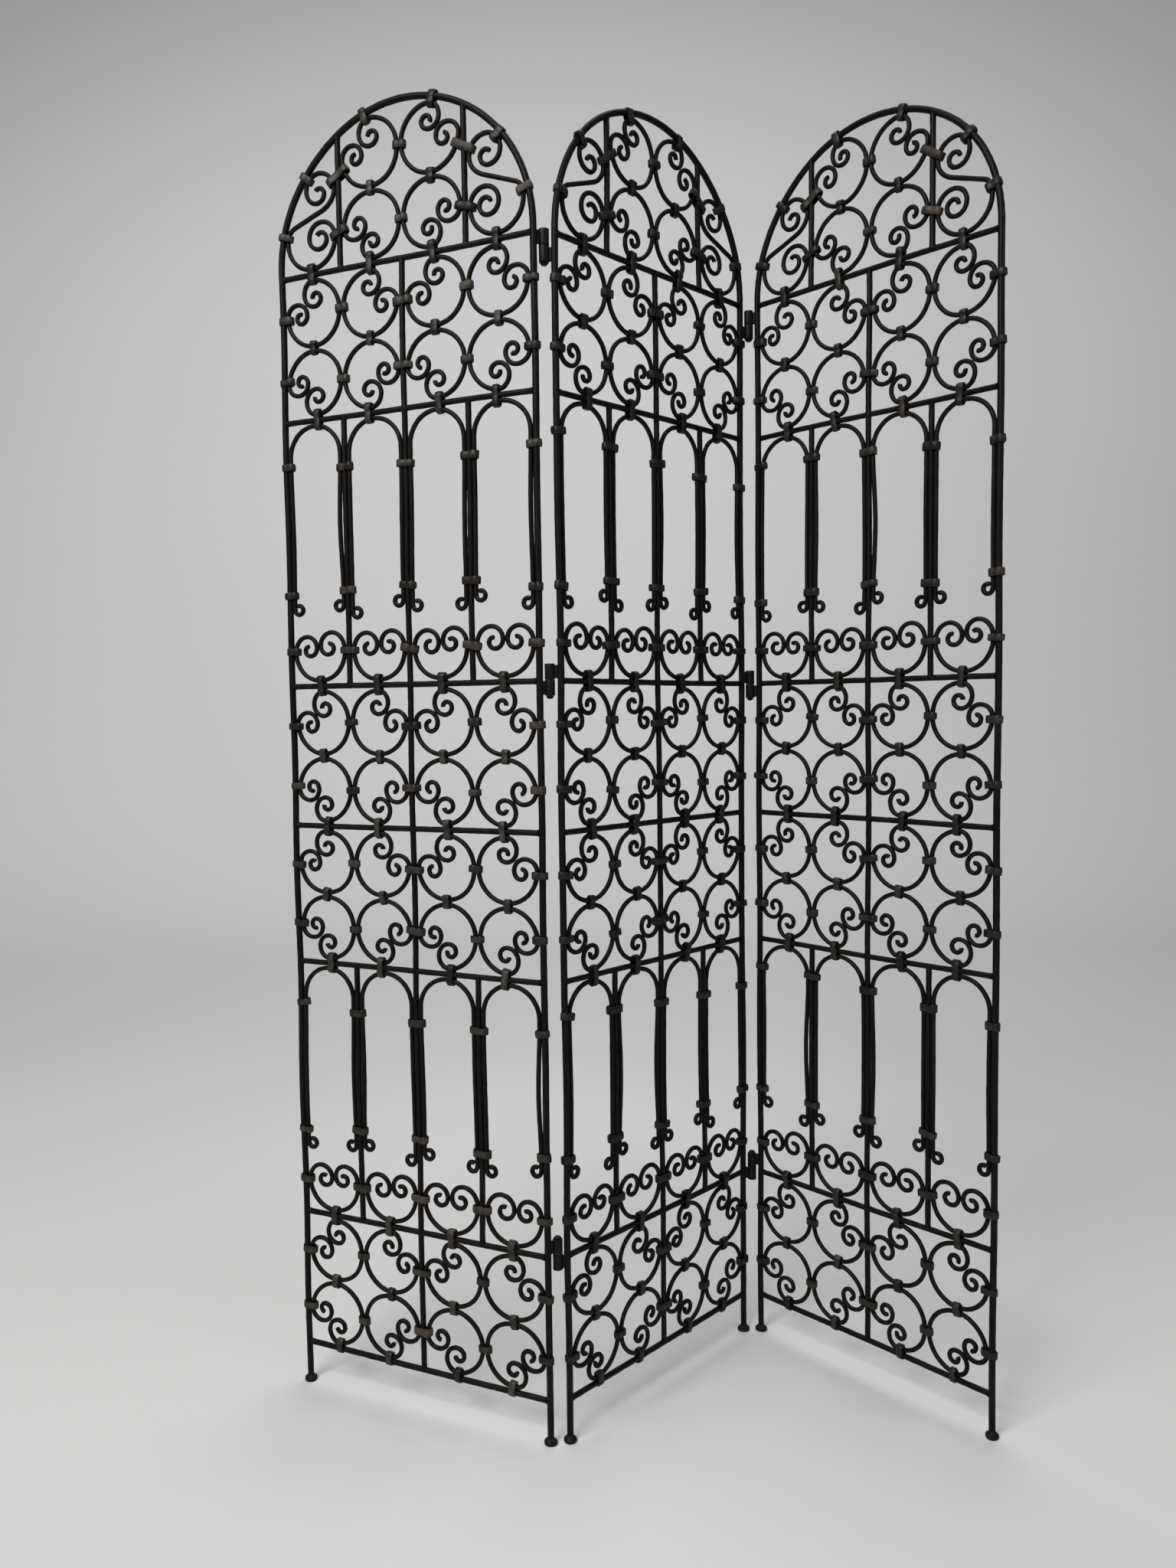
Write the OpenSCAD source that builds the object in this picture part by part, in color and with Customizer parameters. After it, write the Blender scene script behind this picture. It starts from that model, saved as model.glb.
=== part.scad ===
// Folding screen of three panels, bent from round iron bar and bound with strip collars.
// Each panel is a tall arched frame filled with C-scrolls, S-scrolls, hoops and basket scrolls.
// The panels hang on each other by barrel hinges and stand on small button feet.
//
// A panel is drawn in its own frame: X from its left stile to its right, Y through it, with the
// front at -Y, and Z up from the floor. The modules at the end place the three panels.

/* [Panel] */
// Distance between the centres of a panel's two stiles
panel_w = 400; // [380:2:430]
// Height of the lowest rail's centre above the floor
lowest_rail_z = 59.5; // [45:0.5:90]
// Height of each open arcade, from rail centre to rail centre
arcade_h = 373.5; // [350:0.5:420]

/* [Bars] */
// Diameter of the stiles and the arch
stile_d = 9; // [7:0.5:10]
// Diameter of the rails and of the upright bars between them
rail_d = 8; // [6:0.5:8.5]
// Diameter of the bar in the scrolls, hoops and baskets
scroll_d = 6.5; // [5:0.5:7]
// Gap between two bars that a collar ties together
tie_gap = 0.2; // [0.1:0.05:0.4]
// Gap at the root of a weld
weld_gap = 0.1; // [0.05:0.05:0.3]

/* [Collars] */
// Width of the strip that is wrapped round the bars
collar_w = 9.5; // [7:0.5:11]
// Thickness of that strip
collar_t = 1.8; // [1.2:0.1:2]
// Play between a bar and the collar's flat sides
collar_play = 0.1; // [0.05:0.05:0.2]
// Room that a collar leaves at its end for a bar that curves away
collar_room = 1.1; // [0.9:0.1:1.5]
// How far a collar sits from a ring's widest point, towards the ring's plain side
collar_shift = 5; // [3:0.5:6]

/* [Scrolls] */
// Slit between the backs of one scroll's two curled ends
back_gap = 0.4; // [0.2:0.1:1]
// Bends in the curled ends of a C-scroll after the first, as shares of its ring's radius
c_second = 0.27; // [0.25:0.01:0.3]
c_third = 0.17; // [0.15:0.01:0.18]
// The same two bends in a basket
basket_second = 0.3; // [0.27:0.01:0.33]
basket_third = 0.2; // [0.17:0.01:0.21]
// Bends in the S-scroll's lower curl, as shares of its own ring's radius
s_low_first = 0.6; // [0.55:0.01:0.65]
s_low_second = 0.32; // [0.28:0.01:0.35]
s_low_third = 0.2; // [0.17:0.01:0.22]
// Bend in the S-scroll's neck, as a share of the same radius
s_neck = 0.8; // [0.7:0.01:0.9]
// Bends in the S-scroll's upper curl, as shares of the same radius
s_high_first = 0.64; // [0.6:0.01:0.68]
s_high_third = 0.38; // [0.34:0.01:0.4]
s_high_fourth = 0.22; // [0.18:0.01:0.24]

/* [Arcades] */
// Length of a hoop's leg, from its round head down to the middle of its curl
leg_l = 210; // [190:1:225]
// Radius of the closed curl at a leg's foot
curl_r = 6.5; // [5.75:0.25:8]
// How far a collar sits above the curls that it holds
curl_collar_rise = 16; // [15:0.5:22]
// How far the upper collar of a pair of legs sits below the hoops' heads, on average
head_collar_drop = 8.5; // [6:0.5:14]
// How unevenly the smith set the legs and their collars
hand_scatter = 7; // [0:0.5:9]

/* [Feet] */
// Diameter of a button foot
foot_d = 19; // [14:0.5:20]
// Height of a button foot
foot_h = 9; // [8:0.5:12]
// Rounding of its rim
foot_round = 4; // [2:0.25:4]

/* [Hinges] */
// Outer diameter of a hinge barrel
barrel_d = 13.5; // [11.5:0.5:13.5]
// Length of one knuckle
knuckle_l = 21; // [18:0.5:26]
// Gap between the two knuckles of a hinge, and under the pin's head
knuckle_gap = 0.3; // [0.2:0.05:0.6]
// Diameter of the hinge pin
pin_d = 7; // [5:0.5:8]
// Running clearance between pin and bore, on the radius
pin_play = 0.05; // [0.02:0.01:0.1]
// Height of the pin's domed head
pin_head_h = 4; // [3:0.5:5]
// Thickness of the weld that joins a knuckle to its stile
weld_w = 5; // [4:0.5:6]
// How much shorter than its knuckle a weld is, at each end
weld_inset = 2; // [1:0.5:4]
// Room between two neighbouring feet when the screen is folded flat or opened straight
fold_gap = 0.5; // [0.3:0.1:2]

/* [Stance] */
// Angle between the left and the middle panel, open towards the back
left_fold = 108.5; // [60:0.5:180]
// Angle between the middle and the right panel, open towards the front
right_fold = 86; // [60:0.5:180]
// Turn of the middle panel in plan
middle_turn = 47; // [0:1:60]

/* [Hidden] */
$fa = 4;
$fs = 0.5;
WROUGHT = "#2b2a29";
WROUGHT_LIGHT = "#383532";
STRIP = "#4a4239";
BARREL = "#1f1e1e";
PANELS = ["left", "middle", "right"];
PANEL_PARTS = [
  "left_stile", "right_stile", "arch", "rails", "centre_bar", "quarter_bars", "feet",
  "arch_scrolls", "upper_scrolls", "upper_hoops", "upper_baskets", "middle_scrolls",
  "lower_hoops", "lower_baskets", "lower_scrolls",
  "top_collars", "middle_collars", "bottom_collars"
];
HINGE_PARTS = [
  "left_hinge_outer_knuckles", "left_hinge_inner_knuckles", "left_hinge_pins",
  "right_hinge_outer_knuckles", "right_hinge_inner_knuckles", "right_hinge_pins"
];

// Bars seen end on, and the distance between the centres of two bars that touch
stile_r = stile_d / 2;
rail_r = rail_d / 2;
scroll_r = scroll_d / 2;
ring_to_ring = scroll_d + tie_gap;
ring_to_rail = scroll_r + tie_gap + rail_r;
ring_to_stile = scroll_r + tie_gap + stile_r;

// Two rings, side by side, fill half of the panel between a stile and the centre bar
ring_r = (panel_w / 2 - ring_to_stile - ring_to_ring - ring_to_rail) / 4;
ring_pitch = 2 * ring_r + ring_to_ring;
ring_x = ring_to_stile + ring_r;
block_h = 2 * ring_to_rail + ring_pitch + 2 * ring_r;

// Rails by number, from 1 at the arch's foot down to 7 near the floor
RAIL_RISE = [
  0, 4 * block_h + 2 * arcade_h, 3 * block_h + 2 * arcade_h, 3 * block_h + arcade_h,
  2 * block_h + arcade_h, block_h + arcade_h, block_h, 0
];
function rail_z(n) = lowest_rail_z + RAIL_RISE[n];
function column_x(c) = c < 2 ? ring_x + c * ring_pitch : panel_w - ring_x - (3 - c) * ring_pitch;
function row_z(n, row) = rail_z(n) + ring_to_rail + ring_r + row * ring_pitch;

// First bend of a C-scroll's ends, set so that the two curls stand back to back
curl_back = scroll_r + back_gap / 2;
c_first_r = (ring_r * sqrt(0.5) - curl_back) / (1 + sqrt(0.5));

// The arch is a half circle on the stiles. Its rise above rail 1 lets the upper rings touch it.
quarter_x = panel_w / 2 - (ring_to_ring / 2 + 2 * ring_r + ring_to_rail);
arch_r = panel_w / 2;
arch_tie_r = arch_r - ring_to_stile;
arch_ring_x = panel_w / 2 - ring_to_ring / 2 - ring_r;
arch_curl_z = row_z(1, 1) + ring_r - c_first_r;
arch_z = arch_curl_z - sqrt(
  pow(arch_tie_r - c_first_r, 2) - pow(panel_w / 2 - arch_ring_x, 2));

// The S-scroll's lower ring touches rail 1, the quarter bar and the arch
s_side_x = quarter_x - ring_to_rail;
s_floor_z = rail_z(1) + ring_to_rail;
s_b = 2 * (s_floor_z - arch_z - s_side_x + arch_r + arch_tie_r);
s_c = pow(s_side_x - arch_r, 2) + pow(s_floor_z - arch_z, 2) - pow(arch_tie_r, 2);
s_r = (sqrt(s_b * s_b - 4 * s_c) - s_b) / 2;
s_x = s_side_x - s_r;
s_neck_r = s_neck * s_r;
s_neck_z = s_floor_z + s_r + 2 * s_neck_r;
// Its upper curl starts at the quarter bar, and its second bend is the one that meets the arch
s_top = s_high_first * s_r;
s_top_x = s_side_x - s_top;
s_reach = [s_top_x - arch_r, s_neck_z + s_top - arch_z];
s_meet = (pow(arch_tie_r, 2) - s_reach * s_reach) / (2 * (arch_tie_r - s_reach[1]));

// Uprights that bound the four bays of an arcade
UPRIGHT_X = [0, quarter_x, panel_w / 2, panel_w - quarter_x, panel_w];
UPRIGHT_R = [stile_r, rail_r, rail_r, rail_r, stile_r];
function bay_low(b) = UPRIGHT_X[b] + UPRIGHT_R[b];
function bay_high(b) = UPRIGHT_X[b + 1] - UPRIGHT_R[b + 1];
function bay_x(b) = (bay_low(b) + bay_high(b)) / 2;
function bay_r(b) = (bay_high(b) - bay_low(b)) / 2 - tie_gap - scroll_r;

// A fixed, uneven row of numbers between -1 and 1, standing for the smith's eye
function uneven(k) = sin(137.5 * k + 40);
function leg_seed(panel, n, b, side) = 31 * panel + 11 * n + 2 * b + side;
function hoop_z(n, b) = rail_z(n) - ring_to_rail - bay_r(b);
function leg_foot_z(panel, n, b, side) =
  hoop_z(n, b) - leg_l - hand_scatter * uneven(leg_seed(panel, n, b, side));
function foot_collar_z(panel, n, u) = curl_collar_rise + max(
  u > 0 ? leg_foot_z(panel, n, u - 1, 1) : 0, u < 4 ? leg_foot_z(panel, n, u, 0) : 0);
function head_collar_z(panel, n, u) = hoop_z(n, min(u, 3))
  - head_collar_drop - 2.2 * hand_scatter * uneven(5 * u + 7 * n + 3 * panel);
// A collar that reaches above the springing of the hoops needs room for their curve
function head_room(panel, n, u) =
  let (h = max(0, head_collar_z(panel, n, u) + collar_w / 2 - hoop_z(n, min(u, 3))))
    bay_r(0) - sqrt(pow(bay_r(0), 2) - h * h);

// Hinge axes stand off the stiles, so that the feet clear each other folded flat or opened straight
axis_off = (foot_d + fold_gap) / 2;
HINGE_RAILS = [1, 3, 6];
LEFT_HINGE_RISE = [-16.5, 2, 3];
RIGHT_HINGE_RISE = [-28.5, -1, 9];
OUTER_IS_UPPER = [true, false, true];
HEAD_IS_UP = [false, false, true];

// Plan of the folded screen, used to put the origin under the middle of its footprint
function turned(v, a) = [v[0] * cos(a) - v[1] * sin(a), v[0] * sin(a) + v[1] * cos(a)];
left_axis = [-axis_off, axis_off];
right_axis = [panel_w + axis_off, -axis_off];
function from_left(v) = left_axis + turned(v - [panel_w + axis_off, axis_off], left_fold - 180);
function from_right(v) = right_axis + turned(v - [-axis_off, -axis_off], right_fold - 180);
FOOT_PLAN = [for (v = [
    from_left([0, 0]), from_left([panel_w, 0]), [0, 0],
    [panel_w, 0], from_right([0, 0]), from_right([panel_w, 0])
  ]) turned(v, middle_turn)];
foot_xs = [for (v = FOOT_PLAN) v[0]];
foot_ys = [for (v = FOOT_PLAN) v[1]];
plan_middle = [(min(foot_xs) + max(foot_xs)) / 2, (min(foot_ys) + max(foot_ys)) / 2];

// ---- Bent bar, collars and other forms that the sub-parts share ----

// A scroll bar that starts along X and follows a list of [radius, turn] bends.
// A positive turn is to the left, a negative one to the right, and [0, run] is a straight run.
module bent_bar(bends) {
  for (i = [0:len(bends) - 1]) past(bends, i) bar_piece(bends[i][0], bends[i][1]);
}

module bar_piece(r, turn) {
  if (r == 0) rotate([0, 90, 0]) cylinder(d = scroll_d, h = turn);
  else translate([0, turn < 0 ? -r : r, 0]) rotate(turn < 0 ? 90 + turn : -90)
    rotate_extrude(angle = abs(turn)) translate([r, 0]) circle(d = scroll_d);
}

// Moves its children to where the first n bends end
module past(bends, n, i = 0) {
  r = i < n ? bends[i][0] : 0;
  turn = i < n ? bends[i][1] : 0;
  if (i == n) children();
  else if (r == 0) translate([turn, 0, 0]) past(bends, n, i + 1) children();
  else translate([0, sign(turn) * r, 0]) rotate(turn) translate([0, -sign(turn) * r, 0])
    past(bends, n, i + 1) children();
}

// Where a walk along the bends ends: X, Y and heading
function walk(bends, at, i = 0) = i == len(bends) ? at : walk(bends, step(at, bends[i]), i + 1);
function step(at, bend) = bend[0] == 0
  ? at + [bend[1] * cos(at[2]), bend[1] * sin(at[2]), 0]
  : let (r = sign(bend[1]) * bend[0], heading = at[2] + bend[1])
    [at[0] + r * (sin(heading) - sin(at[2])), at[1] - r * (cos(heading) - cos(at[2])), heading];

// One bar bent both ways from the origin: ahead of it along +X, and behind it along -X.
// Both lists are walked outwards from the origin.
module two_ended_bar(behind, ahead) {
  n = len(behind);
  start = walk(behind, [0, 0, 180]);
  translate([start[0], start[1], 0]) rotate(start[2] - 180)
    bent_bar(concat([for (i = [n - 1:-1:0]) returned(behind[i])], ahead));
}

// The same bend met from its other end
function returned(bend) = bend[0] == 0 ? bend : [bend[0], -bend[1]];

// Stands what is drawn in X and Y upright in the panel, with Y as its height
module upright_at(x, z) {
  translate([x, 0, z]) rotate([90, 0, 0]) children();
}

// Draws its children as they are and mirrored across the middle of the panel
module both_halves() {
  children();
  translate([panel_w, 0, 0]) mirror([1, 0, 0]) children();
}

// A ring of radius r that is open at the top, where both of its ends curl inwards
module scroll(r, turn, curl) {
  rotate(-turn / 2) translate([0, -r, 0])
    two_ended_bar([for (bend = curl) returned(bend)], concat([[r, turn]], curl));
}

module c_scroll(x, z, opening) {
  curl = [[c_first_r, 180], [c_second * ring_r, 90], [c_third * ring_r, 90]];
  upright_at(x, z) rotate(opening - 90) scroll(ring_r, 270, curl);
}

module basket(x, z, r) {
  curl = [[(r - curl_back) / 2, 180], [basket_second * r, 90], [basket_third * r, 90]];
  upright_at(x, z) scroll(r, 180, curl);
}

// A flat strip closed round the bars between the points p and q, in the panel's X and Z.
// bar_r is the thickest bar's radius; room_p and room_q lengthen the collar past p and q.
module collar(p, q, bar_r, room_p = 0, room_q = 0) {
  run = norm(q - p);
  inner = bar_r + collar_play;
  translate([p[0], 0, p[1]]) rotate([0, -atan2(q[1] - p[1], q[0] - p[0]), 0])
    linear_extrude(height = collar_w, center = true) difference() {
      long_round(-room_p, run + room_q, inner + collar_t);
      long_round(-room_p, run + room_q, inner);
    }
}

module long_round(x0, x1, r) {
  translate([x0, 0]) circle(r);
  translate([x1, 0]) circle(r);
  translate([x0, -r]) square([x1 - x0, 2 * r]);
}

// ---- The frame of a panel ----

module stile(x) {
  color(WROUGHT) translate([x, 0, foot_h]) cylinder(d = stile_d, h = arch_z - foot_h);
}

module arch() {
  color(WROUGHT) upright_at(arch_r, arch_z)
    rotate_extrude(angle = 180) translate([arch_r, 0]) circle(d = stile_d);
}

module rail_bar(n, grow = 0) {
  translate([0, 0, rail_z(n)]) rotate([0, 90, 0]) cylinder(r = rail_r + grow, h = panel_w);
}

// The rails end in hollows that fit round the stiles
module rails() {
  color(WROUGHT) difference() {
    for (n = [1:7]) rail_bar(n);
    for (x = [0, panel_w]) translate([x, 0, lowest_rail_z - stile_d])
      cylinder(r = stile_r + weld_gap, h = rail_z(1) - lowest_rail_z + 2 * stile_d);
  }
}

// The centre bar is six lengths, each fitted between two rails
module centre_bar() {
  color(WROUGHT) difference() {
    translate([panel_w / 2, 0, lowest_rail_z])
      cylinder(d = rail_d, h = rail_z(1) - lowest_rail_z);
    for (n = [1:7]) rail_bar(n, weld_gap);
  }
}

// Two short bars in the arch and two in each arcade
module quarter_bars() {
  color(WROUGHT) difference() {
    for (x = [quarter_x, panel_w - quarter_x]) {
      translate([x, 0, rail_z(1)]) cylinder(d = rail_d, h = arch_r);
      translate([x, 0, rail_z(3)]) cylinder(d = rail_d, h = arcade_h);
      translate([x, 0, rail_z(6)]) cylinder(d = rail_d, h = arcade_h);
    }
    for (n = [1, 2, 3, 5, 6]) rail_bar(n, weld_gap);
    upright_at(arch_r, arch_z) rotate_extrude(angle = 180) arch_cutter();
  }
}

// Everything from the arch's inner side outwards
module arch_cutter() {
  translate([arch_r, 0]) circle(r = stile_r + weld_gap);
  translate([arch_r, -stile_d]) square([arch_r, 2 * stile_d]);
}

module feet() {
  color(WROUGHT) for (x = [0, panel_w]) translate([x, 0, 0]) rotate_extrude() {
    square([foot_d / 2 - foot_round, foot_h]);
    translate([0, foot_round]) square([foot_d / 2, foot_h - 2 * foot_round]);
    for (y = [foot_round, foot_h - foot_round])
      translate([foot_d / 2 - foot_round, y]) intersection() {
        circle(foot_round);
        translate([-foot_round, -foot_round]) square(2 * foot_round);
      }
  }
}

// ---- Scrolls, hoops and baskets ----

// Two rows of four rings on rail n. Each ring opens towards the outer corner of its group of four.
module scroll_block(n) {
  color(WROUGHT_LIGHT) for (c = [0:3], row = [0, 1])
    c_scroll(column_x(c), row_z(n, row), opening_of(c % 2, row));
}

function opening_of(right, row) = row == 1 ? (right == 1 ? 45 : 135) : (right == 1 ? 315 : 225);

// Its lower ring goes round to the quarter bar, and its neck crosses over to the upper curl
module s_scroll() {
  low = [
    [s_r, 90], [s_low_first * s_r, 180], [s_low_second * s_r, 180], [s_low_third * s_r, 100]
  ];
  high = [
    [s_r, -90], [s_neck_r, -90], [0, 2 * (s_r - s_neck_r)], [s_neck_r, 90],
    [s_top, 90], [s_meet, 90], [s_high_third * s_r, 180], [s_high_fourth * s_r, 90]
  ];
  upright_at(s_x, s_floor_z) two_ended_bar(high, low);
}

module arch_scrolls() {
  color(WROUGHT_LIGHT) both_halves() {
    for (row = [0, 1]) c_scroll(arch_ring_x, row_z(1, row), opening_of(0, row));
    s_scroll();
  }
}

// Four hoops under rail n. Each leg ends in a curl turned into its own bay.
module hoops(panel, n) {
  color(WROUGHT_LIGHT) for (b = [0:3]) upright_at(bay_x(b), hoop_z(n, b) + bay_r(b))
    for (side = [0, 1]) mirror([side, 0, 0]) rotate(180) bent_bar([
      [bay_r(b), 90], [0, hoop_z(n, b) - leg_foot_z(panel, n, b, side)], [curl_r, 285]
    ]);
}

// Four baskets on rail n
module baskets(n) {
  color(WROUGHT_LIGHT) for (b = [0:3])
    basket(bay_x(b), rail_z(n) + ring_to_rail + bay_r(b), bay_r(b));
}

// ---- Collars ----

// Room at the ends of a collar that slants across its bars
slant_room = collar_room + collar_w / 12;

// The arch's inner rings stand off the rings under rail 1, and their collars sit midway
midway_x = (arch_ring_x + column_x(1)) / 2;
midway_room = collar_room + (arch_ring_x - column_x(1)) / 6;

// How far a ring's bar has moved from its widest point, at the place of a shifted collar
shift_sag = ring_r - sqrt(pow(ring_r, 2) - pow(collar_shift, 2));

// Collars inside a block of rings on rail n: ring to ring, ring to stile, and round the centre bar
module block_collars(n) {
  for (c = [0:3])
    collar([column_x(c), row_z(n, 0) + ring_r], [column_x(c), row_z(n, 1) - ring_r],
      scroll_r, collar_room, collar_room);
  for (row = [0, 1]) {
    z = row_z(n, row);
    tie_z = z + (row == 0 ? collar_shift : -collar_shift);
    both_halves() {
      collar([column_x(0) + ring_r, z], [column_x(1) - ring_r, z],
        scroll_r, collar_room, collar_room);
      collar([0, tie_z], [column_x(0) - ring_r + shift_sag, tie_z], stile_r, 0, collar_room);
    }
    collar([column_x(1) + ring_r - shift_sag, tie_z], [column_x(2) - ring_r + shift_sag, tie_z],
      rail_r, collar_room, collar_room);
  }
}

// Collars that bind what stands on rail n to the rail, and to what hangs under it
module rail_collars(n, above_shift, below) {
  for (c = [0:3]) {
    x = column_x(c) + (c % 2 == 0 ? above_shift : -above_shift);
    z = rail_z(n);
    low = below ? z - ring_to_rail : z;
    collar([x, low], [x, z + ring_to_rail], rail_r, below ? collar_room : 0, collar_room);
  }
}

// Collars of an arcade that hangs from rail n: at the legs' heads and feet, and round the baskets
module arcade_collars(panel, n) {
  for (u = [0:4]) {
    room = UPRIGHT_R[u] + tie_gap + scroll_r;
    low = u == 0 ? 0 : -room;
    high = u == 4 ? 0 : room;
    basket_z = rail_z(n + 1) + ring_to_rail + bay_r(0);
    head_z = head_collar_z(panel, n, u);
    free = head_room(panel, n, u);
    collar([UPRIGHT_X[u] + low, head_z], [UPRIGHT_X[u] + high, head_z], UPRIGHT_R[u],
      u == 0 ? 0 : free, u == 4 ? 0 : free);
    foot_z = foot_collar_z(panel, n, u);
    collar([UPRIGHT_X[u] + low, foot_z], [UPRIGHT_X[u] + high, foot_z], UPRIGHT_R[u], 0, 0);
    collar([UPRIGHT_X[u] + low, basket_z], [UPRIGHT_X[u] + high, basket_z], UPRIGHT_R[u],
      u == 0 ? 0 : collar_room, u == 4 ? 0 : collar_room);
  }
}

// Collars of the arch's two S-scrolls and four rings
module arch_collars() {
  middle = [arch_r, arch_z];
  top_curl = [arch_ring_x, arch_curl_z];
  s_curl = [s_top_x, s_neck_z + s_top - s_meet];
  neck_bend = [s_x - s_r + s_neck_r, s_floor_z + s_r];
  both_halves() {
    collar([arch_ring_x, row_z(1, 0) + ring_r], [arch_ring_x, row_z(1, 1) - ring_r],
      scroll_r, collar_room, collar_room);
    arch_collar(middle, top_curl, c_first_r);
    arch_collar(middle, s_curl, s_meet);
    arch_collar(middle, neck_bend, s_neck_r);
    collar([s_side_x, s_floor_z + s_r], [arch_ring_x - ring_r, row_z(1, 0)],
      rail_r, slant_room, slant_room);
    collar(s_upper_tie(20), ring_upper_tie(20), rail_r, slant_room, slant_room);
    collar([s_x, s_floor_z - 2 * ring_to_rail], [s_x, s_floor_z], rail_r,
      collar_room, collar_room);
    collar([midway_x, s_floor_z - 2 * ring_to_rail], [midway_x, s_floor_z],
      rail_r, midway_room, midway_room);
  }
  for (row = [0, 1])
    collar([arch_ring_x + ring_r, row_z(1, row)], [panel_w - arch_ring_x - ring_r, row_z(1, row)],
      scroll_r, collar_room, collar_room);
}

// Where the S-scroll and the upper ring cross the slanting collar at the quarter bar
function s_upper_tie(a) = [s_side_x - s_top * (1 - cos(a)), s_neck_z + s_top * sin(a)];
function ring_upper_tie(a) = [arch_ring_x - ring_r * cos(a), row_z(1, 1) - ring_r * sin(a)];

// A collar from the arch to a bend of radius r round the point at
module arch_collar(middle, at, r) {
  way = (at - middle) / norm(at - middle);
  collar(middle + arch_r * way, at + r * way, stile_r, 0, collar_room);
}

module top_collars() {
  color(STRIP) {
    arch_collars();
    block_collars(2);
  }
}

module middle_collars(panel) {
  color(STRIP) {
    rail_collars(2, collar_shift, true);
    arcade_collars(panel, 2);
    rail_collars(3, 0, true);
    block_collars(4);
    rail_collars(4, collar_shift, true);
    block_collars(5);
  }
}

module bottom_collars(panel) {
  color(STRIP) {
    rail_collars(5, collar_shift, true);
    arcade_collars(panel, 5);
    rail_collars(6, 0, true);
    block_collars(7);
    rail_collars(7, collar_shift, false);
  }
}

// ---- Hinges ----

function hinge_z(rises, i) = rail_z(HINGE_RAILS[i]) + rises[i];

// The knuckles that one panel carries on one hinge axis, each with the weld that joins it to the stile
module knuckles(axis, stile_at, rises, outer) {
  way = stile_at - axis;
  reach = norm(way);
  color(BARREL) for (i = [0:2]) {
    upper = OUTER_IS_UPPER[i] == outer;
    z = hinge_z(rises, i) + (upper ? knuckle_gap / 2 : -knuckle_l);
    l = knuckle_l - knuckle_gap / 2;
    translate([axis[0], axis[1], z]) rotate(atan2(way[1], way[0])) difference() {
      union() {
        cylinder(d = barrel_d, h = l);
        translate([0, -weld_w / 2, weld_inset]) cube([reach, weld_w, l - 2 * weld_inset]);
      }
      translate([0, 0, -1]) cylinder(r = pin_d / 2 + pin_play, h = l + 2);
      translate([reach, 0, -1]) cylinder(r = stile_r + weld_gap, h = l + 2);
    }
  }
}

module pins(axis, rises) {
  color(BARREL) for (i = [0:2]) translate([axis[0], axis[1], hinge_z(rises, i)])
    mirror([0, 0, HEAD_IS_UP[i] ? 0 : 1]) {
      translate([0, 0, -knuckle_l]) cylinder(d = pin_d, h = 2 * knuckle_l + 2 * knuckle_gap);
      translate([0, 0, knuckle_l + knuckle_gap]) pin_head();
    }
}

// A domed head, as wide as the barrel is at the bore's middle wall
module pin_head() {
  r = (barrel_d + pin_d) / 4;
  dome_r = (r * r + pin_head_h * pin_head_h) / (2 * pin_head_h);
  intersection() {
    translate([0, 0, pin_head_h - dome_r]) sphere(dome_r);
    cylinder(r = r, h = pin_head_h);
  }
}

// ---- Placing the panels ----

module in_middle_panel() {
  translate([-plan_middle[0], -plan_middle[1], 0]) rotate(middle_turn) children();
}

module in_left_panel() {
  in_middle_panel() translate(left_axis) rotate(left_fold - 180)
    translate([-panel_w - axis_off, -axis_off, 0]) children();
}

module in_right_panel() {
  in_middle_panel() translate(right_axis) rotate(right_fold - 180)
    translate([axis_off, axis_off, 0]) children();
}

module in_panel(panel) {
  if (panel == 0) in_left_panel() children();
  if (panel == 1) in_middle_panel() children();
  if (panel == 2) in_right_panel() children();
}

for (panel = [0:2]) in_panel(panel) {
  name = str(PANELS[panel], "_panel_");
  stile(0);
  stile(panel_w);
  arch();
  rails();
  centre_bar();
  quarter_bars();
  feet();
  arch_scrolls();
  scroll_block(2);
  hoops(panel, 2);
  baskets(3);
  union() { scroll_block(4); scroll_block(5); }
  hoops(panel, 5);
  baskets(6);
  scroll_block(7);
  top_collars();
  middle_collars(panel);
  bottom_collars(panel);
}

in_left_panel() knuckles([panel_w + axis_off, axis_off], [panel_w, 0], LEFT_HINGE_RISE, true);  // left_hinge_outer_knuckles
in_middle_panel() knuckles(left_axis, [0, 0], LEFT_HINGE_RISE, false);  // left_hinge_inner_knuckles
in_middle_panel() pins(left_axis, LEFT_HINGE_RISE);  // left_hinge_pins
in_right_panel() knuckles([-axis_off, -axis_off], [0, 0], RIGHT_HINGE_RISE, true);  // right_hinge_outer_knuckles
in_middle_panel() knuckles(right_axis, [panel_w, 0], RIGHT_HINGE_RISE, false);  // right_hinge_inner_knuckles
in_middle_panel() pins(right_axis, RIGHT_HINGE_RISE);  // right_hinge_pins
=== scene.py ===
# %% [markdown]
# # A hand-forged folding screen
# The screen is three tall arched panels of round iron bar. Every bar was bent hot over a jig and
# bound to its neighbours with short strips, so no two scrolls are quite alike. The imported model
# gives each bar's place with perfect circles. This script reads those places, draws every bar again
# as a smith would have left it, and gives the iron its finish.

import math

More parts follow.
